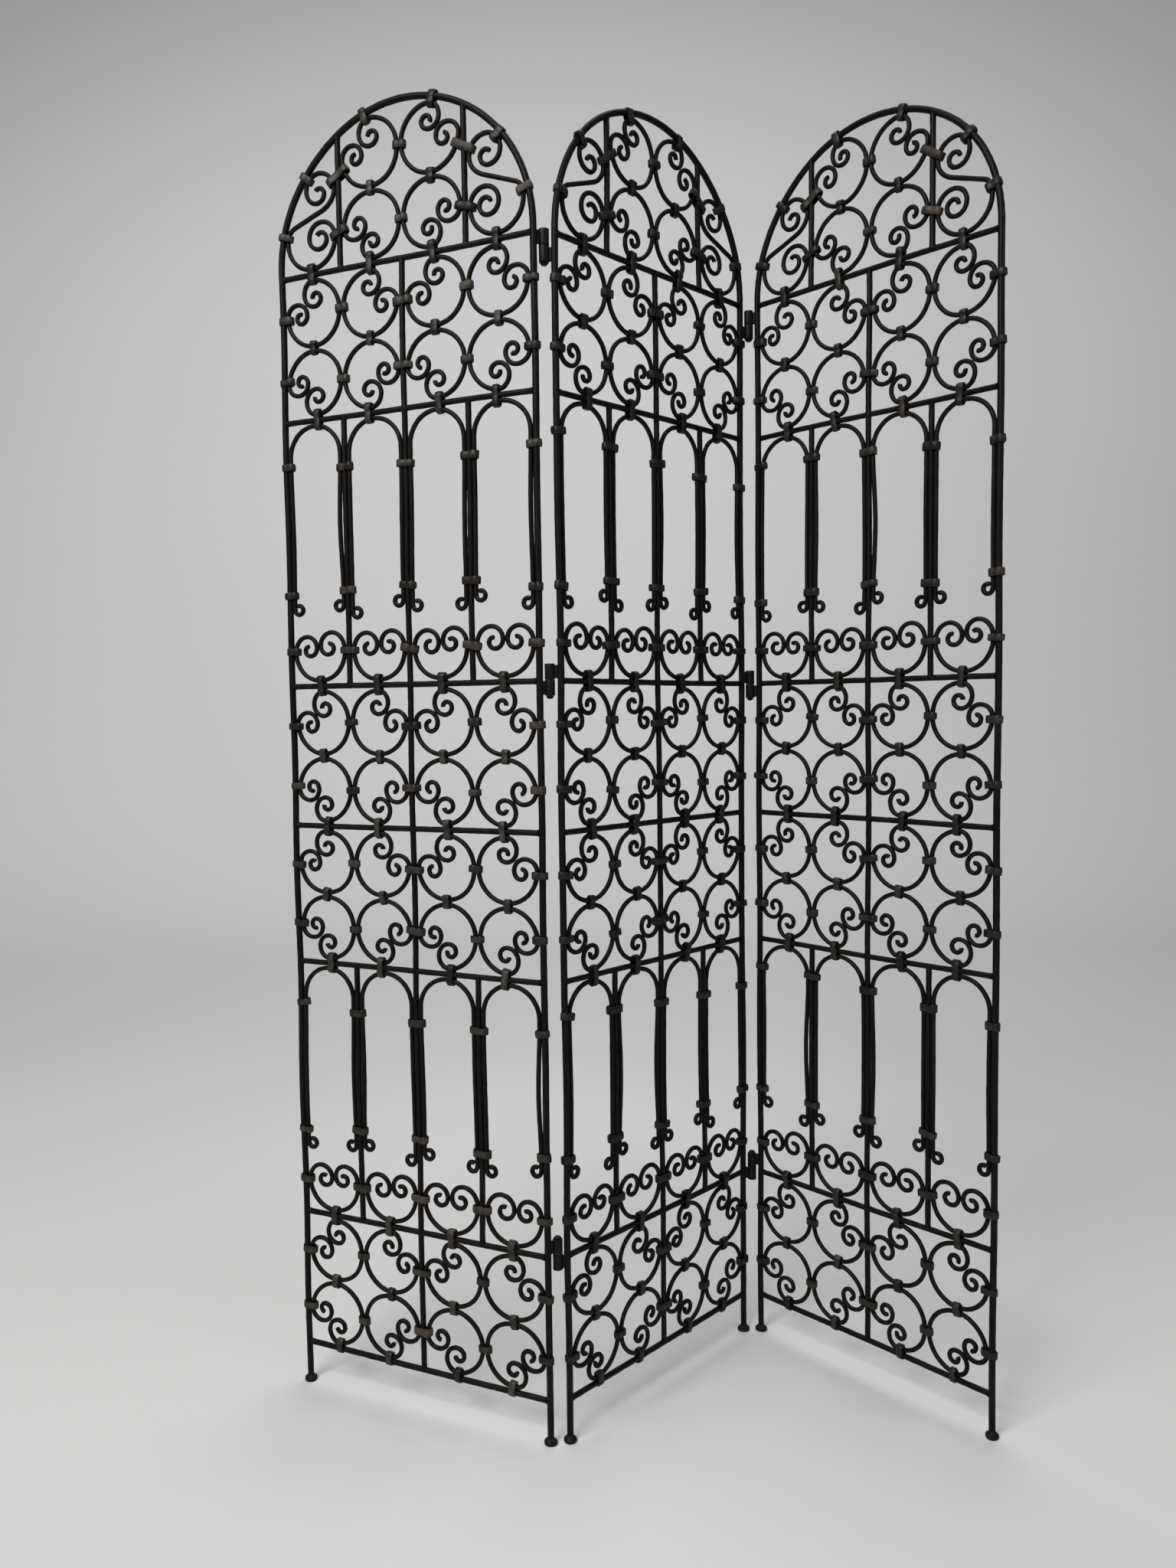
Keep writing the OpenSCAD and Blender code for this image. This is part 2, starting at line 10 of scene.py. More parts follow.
import bpy
import numpy as np
from mathutils import Matrix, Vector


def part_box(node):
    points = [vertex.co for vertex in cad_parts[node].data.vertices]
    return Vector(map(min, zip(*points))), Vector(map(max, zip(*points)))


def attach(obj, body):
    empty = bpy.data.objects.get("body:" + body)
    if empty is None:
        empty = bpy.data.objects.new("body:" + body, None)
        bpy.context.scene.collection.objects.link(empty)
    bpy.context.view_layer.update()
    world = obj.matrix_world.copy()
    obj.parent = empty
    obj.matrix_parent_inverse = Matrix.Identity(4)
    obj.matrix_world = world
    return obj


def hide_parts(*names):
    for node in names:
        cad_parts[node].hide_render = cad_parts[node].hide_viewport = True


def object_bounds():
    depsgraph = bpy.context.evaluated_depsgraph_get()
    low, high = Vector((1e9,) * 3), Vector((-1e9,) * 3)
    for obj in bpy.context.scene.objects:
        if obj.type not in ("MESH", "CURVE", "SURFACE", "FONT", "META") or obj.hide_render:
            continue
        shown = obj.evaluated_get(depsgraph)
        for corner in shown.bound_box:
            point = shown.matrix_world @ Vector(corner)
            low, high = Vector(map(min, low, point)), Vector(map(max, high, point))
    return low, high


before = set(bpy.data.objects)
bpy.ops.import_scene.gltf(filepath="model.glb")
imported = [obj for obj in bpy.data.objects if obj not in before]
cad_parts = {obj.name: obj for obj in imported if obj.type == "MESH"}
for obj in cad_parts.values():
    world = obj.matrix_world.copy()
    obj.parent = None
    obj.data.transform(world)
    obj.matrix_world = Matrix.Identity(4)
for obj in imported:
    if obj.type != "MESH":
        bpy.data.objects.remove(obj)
cad_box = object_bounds()
PANELS = ("left_panel", "middle_panel", "right_panel")
MM = 0.001
scene = bpy.context.scene
print("nodes:", len(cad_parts), "box:", [tuple(round(v, 3) for v in c) for c in cad_box])

# %% [markdown]
# ## Camera
# The photograph was taken from a little over half the screen's height, looking slightly down. The
# camera's place and lens come from matching the crossings of stiles and rails. A lens is given for
# a 36 mm film whose long side is the picture's height.

# %% Camera
FILM_MM = 36
FOCAL_PIXELS = 1579.3
PICTURE_HEIGHT = 2048
CAMERA_AT = (-50.5 * MM, -1733.5 * MM, 991.1 * MM)
LOOK_DOWN, TURN, ROLL = math.radians(3.423), math.radians(0.223), math.radians(-0.687)

camera = bpy.data.objects.new("camera", bpy.data.cameras.new("camera"))
camera.data.sensor_width = FILM_MM
camera.data.lens = FILM_MM * FOCAL_PIXELS / PICTURE_HEIGHT
camera.data.clip_end = 30
camera.matrix_world = (
    Matrix.Translation(CAMERA_AT)
    @ Matrix.Rotation(TURN, 4, "Z")
    @ Matrix.Rotation(math.pi / 2 - LOOK_DOWN, 4, "X")
    @ Matrix.Rotation(ROLL, 4, "Z")
)
scene.collection.objects.link(camera)
scene.camera = camera
print("lens:", round(camera.data.lens, 2), "mm")

# %% [markdown]
# ## Colours and nodes
# Colours are written as the sRGB hex values that a screen shows, and Blender's shaders want linear
# light, so one function turns them. Another adds a shader node with its settings and links.


# %% Colour and node helpers
def linear(hex_colour):
    """An sRGB colour such as '2b2826' as linear red, green, blue and alpha."""
    parts = [int(hex_colour[i : i + 2], 16) / 255 for i in (0, 2, 4)]
    return [c / 12.92 if c <= 0.04045 else ((c + 0.055) / 1.055) ** 2.4 for c in parts] + [1.0]


def add_node(material, kind, settings=None, links=None):
    """Adds a node. Settings are its properties or sockets, and links feed its sockets."""
    made = material.node_tree.nodes.new(kind)
    for name, value in (settings or {}).items():
        if isinstance(name, int) or name in made.inputs:
            made.inputs[name].default_value = value
        else:
            setattr(made, name, value)
    for name, source in (links or {}).items():
        material.node_tree.links.new(source, made.inputs[name])
    return made


# A mix node has sockets for each kind of value. These are its colour ones.
MIX_SHARE, MIX_FROM, MIX_TO, MIXED = 0, 6, 7, 2
print("mid grey 808080 is", round(linear("808080")[0], 3), "in linear light")

# %% [markdown]
# ## Blackened iron
# The bar is mild iron, forged hot, so a thin skin of black scale is left on it, rubbed with wax.
# That gives a brown-black with no colour of its own, and a broken, satin shine: the hammer leaves
# shallow flats about a bar's width across, and the scale is grainy at half a millimetre. The grain
# is drawn at 1.5 mm here, as finer ones vanish at this distance. Scale is no bare metal, so it is
# only partly metallic. The strips were handled more than the bars. Where their wax wore off they
# have gone brown, some much more than others, so every strip carries a number for its age, and its
# face another for its wear and a painted highlight, paler across the middle of the face. A picture
# of real scale could be wrapped round each bar, but it would stretch at every bend. Noise that is
# worked out in space needs no wrapping.

# %% The patterns in the scale
PATCH = 45 * MM  # dark and plain patches, as long as a heat
CLOUD = 12 * MM  # brown bloom, and blotches where the wax has gone
FLAT = 7 * MM  # flats from the hammer
GRAIN = 1.5 * MM  # grains of the scale, drawn coarser than they are


def iron_patterns(material):
    """The noises that the colour, the shine and the relief share."""
    place = add_node(material, "ShaderNodeTexCoord").outputs["Object"]
    patterns = {"place": place}
    noises = ("patches", PATCH, 4, 0.6), ("grain", GRAIN, 3, 0.7), ("clouds", CLOUD, 5, 0.65)
    for name, size, detail, roughness in noises:
        settings = {"Scale": 1 / size, "Detail": detail, "Roughness": roughness}
        noise = add_node(material, "ShaderNodeTexNoise", settings, {"Vector": place})
        patterns[name] = noise.outputs["Fac"]
    return patterns


# %% The colour of the scale
def iron_colour(material, patterns, colours, rust_amount):
    """The iron's colour, from its dark, plain, worn and brown ones, and how brown each place is."""
    dark, plain, worn, brown = (linear(colour) for colour in colours)
    age = add_node(material, "ShaderNodeAttribute", {"attribute_name": "age"}).outputs["Fac"]
    wear_and_painted_highlight = add_node(material, "ShaderNodeAttribute", {"attribute_name": "wear_and_painted_highlight"}).outputs["Fac"]
    patchy = add_node(
        material, "ShaderNodeMapRange", {"From Min": 0.32, "From Max": 0.68},
        {"Value": patterns["patches"]},
    ).outputs["Result"]
    scale_colour = add_node(
        material, "ShaderNodeMix", {"data_type": "RGBA", MIX_FROM: dark, MIX_TO: plain},
        {MIX_SHARE: patchy},
    ).outputs[MIXED]

    # Specks where the wax has worn through, and, on the strips only, blotches of wear mixed with a
    # painted highlight that is palest across the middle of the face
    specks = add_node(
        material, "ShaderNodeMapRange", {"From Min": 0.56, "From Max": 0.72, "To Max": 0.5},
        {"Value": patterns["grain"]},
    ).outputs["Result"]
    blotches = add_node(
        material, "ShaderNodeMapRange", {"From Min": 0.38, "From Max": 0.62, "To Min": 0.25},
        {"Value": patterns["clouds"]},
    ).outputs["Result"]
    blotchy_wear_and_highlight = add_node(
        material, "ShaderNodeMath", {"operation": "MULTIPLY"}, {0: blotches, 1: wear_and_painted_highlight}
    ).outputs["Value"]
    rubbed_and_highlit = add_node(
        material, "ShaderNodeMath", {"operation": "MAXIMUM", "use_clamp": True},
        {0: specks, 1: blotchy_wear_and_highlight},
    ).outputs["Value"]
    with_specks = add_node(
        material, "ShaderNodeMix", {"data_type": "RGBA", MIX_TO: worn},
        {MIX_SHARE: rubbed_and_highlit, MIX_FROM: scale_colour},
    ).outputs[MIXED]

    # Brown bloom, more of it where the piece's own age is high
    aged = add_node(
        material, "ShaderNodeMath", {"operation": "ADD"}, {0: patterns["clouds"], 1: age}
    ).outputs["Value"]
    bloom = add_node(
        material, "ShaderNodeMapRange",
        {"From Min": 1.12 - rust_amount, "From Max": 1.5 - rust_amount, "To Max": 0.8},
        {"Value": aged},
    ).outputs["Result"]
    colour = add_node(
        material, "ShaderNodeMix", {"data_type": "RGBA", MIX_TO: brown},
        {MIX_SHARE: bloom, MIX_FROM: with_specks},
    ).outputs[MIXED]
    return colour, bloom


# %% The whole finish
def blackened_iron(name, colours, rust_amount, roughness, gloss):
    """Black scale on forged iron: patchy, with a few worn specks, brown where it has aged, and on the
    strips a painted highlight with their wear.
    """
    material = bpy.data.materials.new(name)
    material.use_nodes = True
    shader, links = material.node_tree.nodes["Principled BSDF"], material.node_tree.links
    patterns = iron_patterns(material)
    colour, bloom = iron_colour(material, patterns, colours, rust_amount)
    links.new(colour, shader.inputs["Base Color"])

    # The brown bloom is dull, the waxed scale satin
    dull = add_node(
        material, "ShaderNodeMapRange", {"To Min": roughness, "To Max": roughness + 0.22},
        {"Value": patterns["grain"]},
    ).outputs["Result"]
    dulled = add_node(
        material, "ShaderNodeMath", {"operation": "MULTIPLY_ADD", 1: 0.25}, {0: bloom, 2: dull}
    ).outputs["Value"]
    links.new(dulled, shader.inputs["Roughness"])
    shader.inputs["Metallic"].default_value = 0.15
    shader.inputs["Specular IOR Level"].default_value = gloss

    # Hammer flats, then the grain of the scale
    flats = add_node(
        material, "ShaderNodeTexVoronoi",
        {"feature": "SMOOTH_F1", "Scale": 1 / FLAT, "Smoothness": 0.6},
        {"Vector": patterns["place"]},
    ).outputs["Distance"]
    hammered_flat = add_node(
        material, "ShaderNodeBump", {"Strength": 0.35, "Distance": 0.6 * MM}, {"Height": flats}
    ).outputs["Normal"]
    grained = add_node(
        material, "ShaderNodeBump", {"Strength": 0.3, "Distance": 0.2 * MM},
        {"Height": patterns["grain"], "Normal": hammered_flat},
    ).outputs["Normal"]
    links.new(grained, shader.inputs["Normal"])
    return material


# %% The five finishes
# What it is, its dark, plain, worn and brown colours, and how rusty, rough and glossy it is
FINISHES = {
    "frame_iron": (
        "waxed black scale on the frame bars",
        ("070504", "12100d", "342f2a", "2c221a"), 0.02, 0.40, 0.14,
    ),
    "scroll_iron": (
        "waxed black scale on the scrolls",
        ("070504", "13110e", "37322d", "2e251c"), 0.04, 0.41, 0.14,
    ),
    # The strips' worn colour is their wear and also a painted highlight across each face, and their
    # plain colour is a touch paler than the bars' as a painted highlight on the flat faces
    "collar_iron": (
        "worn scale with a painted highlight on the strips",
        ("070605", "171411", "5a534b", "554a40"), 0.0, 0.36, 0.26,
    ),
    "hinge_iron": (
        "waxed black scale on the hinges",
        ("070605", "100e0c", "2a2622", "281f18"), 0.0, 0.38, 0.2,
    ),
    "foot_iron": (
        "scuffed scale on the feet",
        ("080706", "15120f", "38322c", "32271e"), 0.08, 0.46, 0.22,
    ),
}
IRON = {slot: blackened_iron(*finish) for slot, finish in FINISHES.items()}
print("finishes:", ", ".join(IRON))

# %% [markdown]
# ## Reading the panels
# Each panel stands turned in the room, so it is read in its own frame: x from the left stile to the
# right one, y through it, with the front at minus y, and z up. The stiles' boxes give that frame. A
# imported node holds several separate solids, such as eight scrolls, and sharing points tells them
# apart.


# %% A panel's own frame
def panel_frame(panel):
    """The panel's origin on the floor and its three axes, in millimetres, and its width."""
    feet = []
    for stile in ("_left_stile", "_right_stile"):
        low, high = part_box(panel + stile)
        feet.append(np.array([(low.x + high.x) / 2, (low.y + high.y) / 2, 0]) / MM)
    width = float(np.linalg.norm(feet[1] - feet[0]))
    across = (feet[1] - feet[0]) / width
    axes = np.array([across, [-across[1], across[0], 0], [0, 0, 1]])
    return {"origin": feet[0], "axes": axes, "width": width}


FRAMES = {panel: panel_frame(panel) for panel in PANELS}
for panel in PANELS:
    print(panel, "is", round(FRAMES[panel]["width"], 1), "mm wide between its stiles' centres")

# %% The solids in a node
# Points within a thousandth of a millimetre are one. The weights make one number of three.
SAME_POINT = 1000
KEY_WEIGHTS = np.array([1, 4_000_003, 16_000_000_007_001])


def solids_of(node, panel):
    """The separate solids of a node, each as its points in the panel's frame, in millimetres."""
    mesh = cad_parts[node].data
    points = np.empty(len(mesh.vertices) * 3)
    mesh.vertices.foreach_get("co", points)
    points = points.reshape(-1, 3) / MM
    edges = np.empty(len(mesh.edges) * 2, dtype=np.int64)
    mesh.edges.foreach_get("vertices", edges)
    keys = np.round(points * SAME_POINT).astype(np.int64) @ KEY_WEIGHTS
    _, first, same = np.unique(keys, return_index=True, return_inverse=True)
    ends = same[edges.reshape(-1, 2)]
    # Each point takes the lowest label among its neighbours, until a whole solid shares one
    label = np.arange(len(first))
    while True:
        lowest = np.minimum(label[ends[:, 0]], label[ends[:, 1]])
        before = label.copy()
        np.minimum.at(label, ends[:, 0], lowest)
        np.minimum.at(label, ends[:, 1], lowest)
        label = label[label]
        if np.array_equal(label, before):
            break
    shape = FRAMES[panel]
    local = (points[first] - shape["origin"]) @ shape["axes"].T
    return [local[label == one] for one in np.unique(label)]


print("solids in a panel's feet:", len(solids_of("left_panel_feet", "left_panel")))

# %% [markdown]
# ## Walking along a bent bar
# A smith thinks of a scroll as a bar that turns ever more tightly. So a path here is a list of
# stretches, each with the radius that it starts with, the radius that it ends with, and how far it
# turns. Between the two the bend tightens evenly along the bar, as it does when drawn round a jig.
# Curves with handles could trace the same line, but radii can be measured on the real thing.

# %% The path of a bar
STEP_MM, STEP_TURN = 4.0, 0.22  # the longest step along a bar, and how far one may turn


def walk(start, heading, stretches, step=STEP_MM):
    """Points along a bar in the plane. A stretch is (radius, radius, turn) or ("run", length)."""
    at, turn_now = np.array(start, float), math.radians(heading)
    points = [at.copy()]
    for stretch in stretches:
        if stretch[0] == "run":
            length, bend_a, bend_b, longest = stretch[1], 0.0, 0.0, 2 * step
        else:
            side = math.copysign(1, stretch[2])
            bend_a, bend_b = side / stretch[0], side / stretch[1]
            length = 2 * math.radians(stretch[2]) / (bend_a + bend_b)
            longest = min(step, STEP_TURN / max(abs(bend_a), abs(bend_b)))
        count = max(1, math.ceil(length / longest))
        piece = length / count
        for i in range(count):
            bend = bend_a + (bend_b - bend_a) * (i + 0.5) / count
            turn_now += bend * piece / 2
            at += piece * np.array([math.cos(turn_now), math.sin(turn_now)])
            turn_now += bend * piece / 2
            points.append(at.copy())
    return np.array(points)


def mirrored(path, x):
    """The same path, mirrored left to right about the upright line at x."""
    return np.stack([2 * x - path[:, 0], path[:, 1]], 1)


def turned(path, degrees):
    """The same path, turned about the origin."""
    a = math.radians(degrees)
    return path @ np.array([[math.cos(a), math.sin(a)], [-math.sin(a), math.cos(a)]])


print("a 45 mm ring has", len(walk((0, 0), 0, [(45, 45, 270)])), "points")

# %% [markdown]
# ## A bar as a tube
# Blender can bevel a curve into a tube, but that is perfectly round. A forged bar isn't: it was
# hammered as it was turned on the anvil. So the tube is built ring by ring, and each ring's points
# move in and out by a few hundredths of the radius, in waves about a bar's width long. The whole
# panel also drifts a little out of true. All bars of a panel follow the same drift, so what is tied
# together stays together.

# %% Drift of a panel
rng = np.random.default_rng(7)
FULL_TURN = 6.28  # in radians, as near as a chance angle needs
DRIFT_MM = 0.45 * np.array([0.55, 0.6, 0.3])
WAVES = {
    panel: [
        (rng.uniform(0.008, 0.022, 2) * rng.choice([-1, 1], 2), rng.uniform(0, FULL_TURN, 3))
        for _ in range(5)
    ]
    for panel in PANELS
}


def drifted(points, panel):
    """Moves points of a panel by up to about a millimetre, smoothly from place to place."""
    moved = points.copy()
    for wave, phase in WAVES[panel]:
        angle = points[:, 0] * wave[0] + points[:, 2] * wave[1]
        moved += DRIFT_MM * np.sin(angle[:, None] + phase)
    return moved


print("drift at a panel's foot:", drifted(np.zeros((1, 3)), PANELS[0])[0].round(2), "mm")

# %% A skin over rings of points
NO_CORNER = -1


def skin(count, sides, bored=False):
    """Faces over a stack of rings: a fan of triangles closes each end, or a bore joins the two."""
    i, j = np.meshgrid(np.arange(count if bored else count - 1), np.arange(sides), indexing="ij")
    k, after = (j + 1) % sides, (i + 1) % count
    quads = np.stack([i * sides + j, i * sides + k, after * sides + k, after * sides + j], -1)
    quads = quads.reshape(-1, 4)
    if bored:
        return quads
    j = np.arange(sides)
    k = (j + 1) % sides
    top, none = (count - 1) * sides, np.full(sides, NO_CORNER)
    low = np.stack([k, j, np.full(sides, count * sides), none], 1)
    high = np.stack([top + j, top + k, np.full(sides, count * sides + 1), none], 1)
    return np.concatenate([quads, low, high])


print("a closed skin over 3 rings of 8 has", len(skin(3, 8)), "faces")

# %% The tube
# Lobes round the bar, and millimetres from one to the next along it
HAMMER_WAVES = ((2, 17.0), (3, 11.0), (1, 29.0), (2, 7.5))
TWIST = 0.02  # how fast the lobes wander round the bar, in radians per millimetre
SWELL_REACH = 2.6  # how far a welded end's swelling reaches, in millimetres
ROUNDNESS = 1.015  # a ten-sided ring is a little slimmer than the round bar that it stands for
SAWN_END, KNOCKED_OFF = 0.82, 0.18  # a sawn end's width and its edge's loss, in bar radii


def hammered(run, sides, dents, swelling):
    """How far out each point of each ring is, as a share of the bar's radius."""
    around = np.arange(sides) * 2 * np.pi / sides
    out = np.ones((len(run), sides))
    for lobes, wavelength in HAMMER_WAVES:
        phase, lie = rng.uniform(0, FULL_TURN, 2)
        blows = np.sin(run[:, None] * FULL_TURN / wavelength + phase)
        out += dents * 0.5 * blows * np.cos(lobes * around[None, :] + lie + run[:, None] * TWIST)
    for from_end in (run, run[-1] - run):
        out *= 1 + swelling * np.exp(-((from_end / SWELL_REACH) ** 2))[:, None]
    return out * ROUNDNESS


def tube(path, radius, panel, sides=10, dents=0.045, swelling=0.0):
    """A hammered bar along a path of (x, z) or (x, y, z) points: its points and its faces."""
    if path.shape[1] == 2:
        path = np.stack([path[:, 0], np.zeros(len(path)), path[:, 1]], 1)
    path = drifted(path, panel)
    along = np.gradient(path, axis=0)
    along /= np.linalg.norm(along, axis=1)[:, None]
    through = np.array([0.0, 1.0, 0.0]) - along * along[:, 1:2]
    through /= np.linalg.norm(through, axis=1)[:, None]
    beside = np.cross(along, through)
    run = np.concatenate([[0], np.cumsum(np.linalg.norm(np.diff(path, axis=0), axis=1))])
    around = (np.arange(sides) * 2 * np.pi / sides)[None, :, None]
    out = np.cos(around) * beside[:, None, :] + np.sin(around) * through[:, None, :]
    rings = path[:, None, :] + radius * hammered(run, sides, dents, swelling)[..., None] * out
    # Each end is a sawn face with its edge knocked off
    for end in (0, -1):
        rings[end] = path[end] + (rings[end] - path[end]) * SAWN_END
    edge = KNOCKED_OFF * radius
    rings = np.concatenate([
        rings[:1],
        (rings[:1] - path[0]) / SAWN_END + (path[0] + along[0] * edge),
        rings[1:-1],
        (rings[-1:] - path[-1]) / SAWN_END + (path[-1] - along[-1] * edge),
        rings[-1:],
    ])
    points = np.concatenate([rings.reshape(-1, 3), path[:1], path[-1:]])
    return points, skin(len(rings), sides)


print("tube of a ring:", len(tube(walk((0, 0), 0, [(45, 45, 270)]), 3, PANELS[0])[1]), "faces")

# %% [markdown]
# ## From points to a piece
# All bars of one node go into one mesh, which is one piece in the scene. It replaces that node,
# rides on the same body, and takes its finish. Each bar could be an object of its own, but over two
# hundred in a panel would be hard to handle. Two numbers go with each point, and the iron finishes
# read both: how aged its bar is, and how worn that spot is, with a painted highlight on the strips.

# %% Building a piece
SHARP_FROM = math.radians(48)
AGE_OF_A_BAR = (0.0, 0.35)


def new_mesh(name, points, faces):
    """A smooth mesh with sharp edges, from points in metres and faces of three or four corners."""
    corners = faces != NO_CORNER
    sizes = corners.sum(1)
    mesh = bpy.data.meshes.new(name)
    mesh.vertices.add(len(points))
    mesh.vertices.foreach_set("co", points.ravel())
    mesh.loops.add(int(sizes.sum()))
    mesh.loops.foreach_set("vertex_index", faces[corners])
    mesh.polygons.add(len(sizes))
    mesh.polygons.foreach_set("loop_start", np.cumsum(sizes) - sizes)
    mesh.update(calc_edges=True)
    mesh.validate()
    mesh.polygons.foreach_set("use_smooth", np.ones(len(mesh.polygons), bool))
    mesh.set_sharp_from_angle(angle=SHARP_FROM)
    return mesh


def build_piece(name, panel, parts, finish, replaced, ages=None, wear_and_painted_highlight=None):
    """One piece from (points, faces) parts, placed in the room."""
    if ages is None:
        ages = [rng.uniform(*AGE_OF_A_BAR) for _ in parts]
    counts = [len(part_points) for part_points, _ in parts]
    starts = np.cumsum([0] + counts)
    faces = [np.where(part < 0, NO_CORNER, part + start) for (_, part), start in zip(parts, starts)]
    points = np.concatenate([part_points for part_points, _ in parts])
    points = (points @ FRAMES[panel]["axes"] + FRAMES[panel]["origin"]) * MM
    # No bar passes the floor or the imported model's top
    points[:, 2] = np.clip(points[:, 2], cad_box[0].z, cad_box[1].z)
    mesh = new_mesh(name, points, np.concatenate(faces))
    # On the strips this is wear with a painted highlight; the bars have none
    worn = np.concatenate(wear_and_painted_highlight) if wear_and_painted_highlight is not None else np.zeros(len(points))
    for label, values in (("age", np.repeat(ages, counts)), ("wear_and_painted_highlight", worn)):
        mesh.attributes.new(label, "FLOAT", "POINT").data.foreach_set("value", values)
    mesh.materials.append(IRON[finish])
    piece = bpy.data.objects.new(name, mesh)
    scene.collection.objects.link(piece)
    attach(piece, panel)
    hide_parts(*replaced)


# %% [markdown]
# ## The frame of a panel
# Each panel's outline is a single 9 mm bar: up one side, round the arch and down the other. Drawing
# it in one path avoids a seam at the arch's foot. The rails and uprights are 8 mm bars, butted and
# welded between them, so each end swells where the weld was hammered flush.

# %% Outline, rails and uprights
STRAIGHT_STEP, OUTLINE_STEP = 6.0, 5.0
WELD_SWELLING = 0.16
INTO_FOOT = 4.0  # the outline bar starts inside its feet
# How far a bar is drawn past its solid's ends. A rail's solid has hollow ends that reach round the
# stiles, so its bar stops short of them.
PAST_RAIL, PAST_UPRIGHT = -1.0, 1.5


def straight_bars(node, panel, past):
    """Every straight bar of a node, as a tube that reaches a little into its welds."""
    parts = []
    for solid in solids_of(node, panel):
        low, high = solid.min(0), solid.max(0)
        long = 0 if high[0] - low[0] > high[2] - low[2] else 2
        short = 2 - long
        radius = (high[short] - low[short]) / 2
        ends = [low[long] - past, high[long] + past]
        count = max(2, round((ends[1] - ends[0]) / STRAIGHT_STEP))
        path = np.zeros((count + 1, 3))
        path[:, long] = np.linspace(*ends, count + 1)
        path[:, short] = (low[short] + high[short]) / 2
        parts.append(tube(path, radius, panel, swelling=WELD_SWELLING))
    return parts


for panel in PANELS:
    width = FRAMES[panel]["width"]
    outer = solids_of(panel + "_arch", panel)[0]
    stile = solids_of(panel + "_left_stile", panel)[0]
    radius = (outer[:, 1].max() - outer[:, 1].min()) / 2
    springing = stile[:, 2].max()
    upright = springing - stile[:, 2].min() + INTO_FOOT
    round_arch = [("run", upright), (width / 2, width / 2, -180), ("run", upright)]
    path = walk((0, springing - upright), 90, round_arch, OUTLINE_STEP)
    outline = tube(path, radius, panel, sides=14, dents=0.03)
    build_piece(
        panel + "_outline_bar", panel, [outline], "frame_iron",
        [panel + "_left_stile", panel + "_right_stile", panel + "_arch"], ages=[0.1],
    )
    rails = straight_bars(panel + "_rails", panel, PAST_RAIL)
    build_piece(panel + "_rail_bars", panel, rails, "frame_iron", [panel + "_rails"])
    for node, name in (("_centre_bar", "_centre_lengths"), ("_quarter_bars", "_quarter_lengths")):
        uprights = straight_bars(panel + node, panel, PAST_UPRIGHT)
        build_piece(panel + name, panel, uprights, "frame_iron", [panel + node])
    print(panel, "outline", round(radius * 2, 1), "mm thick, arch from", round(springing), "mm up")

# %% [markdown]
# ## Scrolls
# A C-scroll is most of a ring, with both ends curled inwards until they meet back to back. In the
# photograph each curl turns a little over once and ends in a blunt eye. How far the curls reach
# follows from the ring: they have to touch each other, so their size is found by halving the error.

# %% A scroll's halves
# A curl's bends: the radii that each starts and ends with, in shares of its size, and its turn
C_CURL = [(0.84, 1.14, 90), (1.0, 0.88, 90), (0.8, 0.5, 90), (0.46, 0.42, 90), (0.38, 0.3, 105)]
BASKET_CURL = [(1.5, 1.0, 60), (0.96, 0.78, 120), (0.68, 0.48, 120), (0.42, 0.28, 175)]
CURL_HALVINGS = 22
ALMOST_TOUCHING = 0.15  # the slit between the two backs, in millimetres
SQUARENESS = 0.014


def sized(curl, size, extra_turn):
    """The bends of a curl at its size, the last one turned a little further."""
    bends = [(a * size, b * size, turn) for a, b, turn in curl]
    bends[-1] = (*bends[-1][:2], bends[-1][2] + extra_turn)
    return bends


def curled_half(radius, bar, plain_turn, curl, split):
    """Half of a scroll from its lowest point. Its curl is as large as fits beside x = split."""
    low, high, extra_turn = 0.15 * radius, 0.9 * radius, rng.uniform(-22, 28)
    lowest, plain = (0, -radius), [(radius, radius, plain_turn)]
    first = len(walk(lowest, 0, plain))
    for _ in range(CURL_HALVINGS):
        size = (low + high) / 2
        path = walk(lowest, 0, plain + sized(curl, size, extra_turn))
        if path[first:, 0].min() < split + bar + ALMOST_TOUCHING:
            high = size
        else:
            low = size
    return path


def whole_scroll(radius, bar, plain_turn, curl, scatter):
    """Both halves joined, the one a little larger than the other."""
    split = rng.normal(0, scatter)
    right = curled_half(radius, bar, plain_turn + rng.uniform(-3, 3), curl, split)
    left = curled_half(radius, bar, plain_turn + rng.uniform(-3, 3), curl, -split)
    path = np.concatenate([mirrored(left, 0)[:0:-1], right])
    # A ring off the anvil is a touch square: its quarters bulge or sink, but its tied points don't
    angle, length = np.arctan2(path[:, 1], path[:, 0]), np.linalg.norm(path, axis=1)
    bulge = rng.uniform(-SQUARENESS, SQUARENESS) * (length / radius) ** 3
    return path * (1 + bulge * np.sin(2 * angle + np.pi / 2) ** 2)[:, None]


# %% C-scrolls
# The plain ring in each half, in degrees, and how far the slit strays, in mm
C_PLAIN_TURN, C_SCATTER = 132, 0.7


def ring_of(solid):
    """A ring's centre and radius, the bar's own radius, and where the ring's opening faces."""
    low, high = solid.min(0), solid.max(0)
    bar = (high[1] - low[1]) / 2
    centre = np.array([low[0] + high[0], low[2] + high[2]]) / 2
    radius = (high[0] - low[0]) / 2 - bar
    away = solid[:, [0, 2]] - centre
    curls = away[np.linalg.norm(away, axis=1) < 0.75 * radius].mean(0)
    return centre, radius, bar, math.degrees(math.atan2(curls[1], curls[0]))


def c_scroll_bar(solid, panel):
    """The bar of a C-scroll. It opens towards one corner of the panel, at 45 degrees."""
    centre, radius, bar, facing = ring_of(solid)
    corner = round((facing - 45) / 90) * 90 + 45
    path = turned(whole_scroll(radius, bar, C_PLAIN_TURN, C_CURL, C_SCATTER), corner - 90)
    return tube(path + centre, bar, panel)


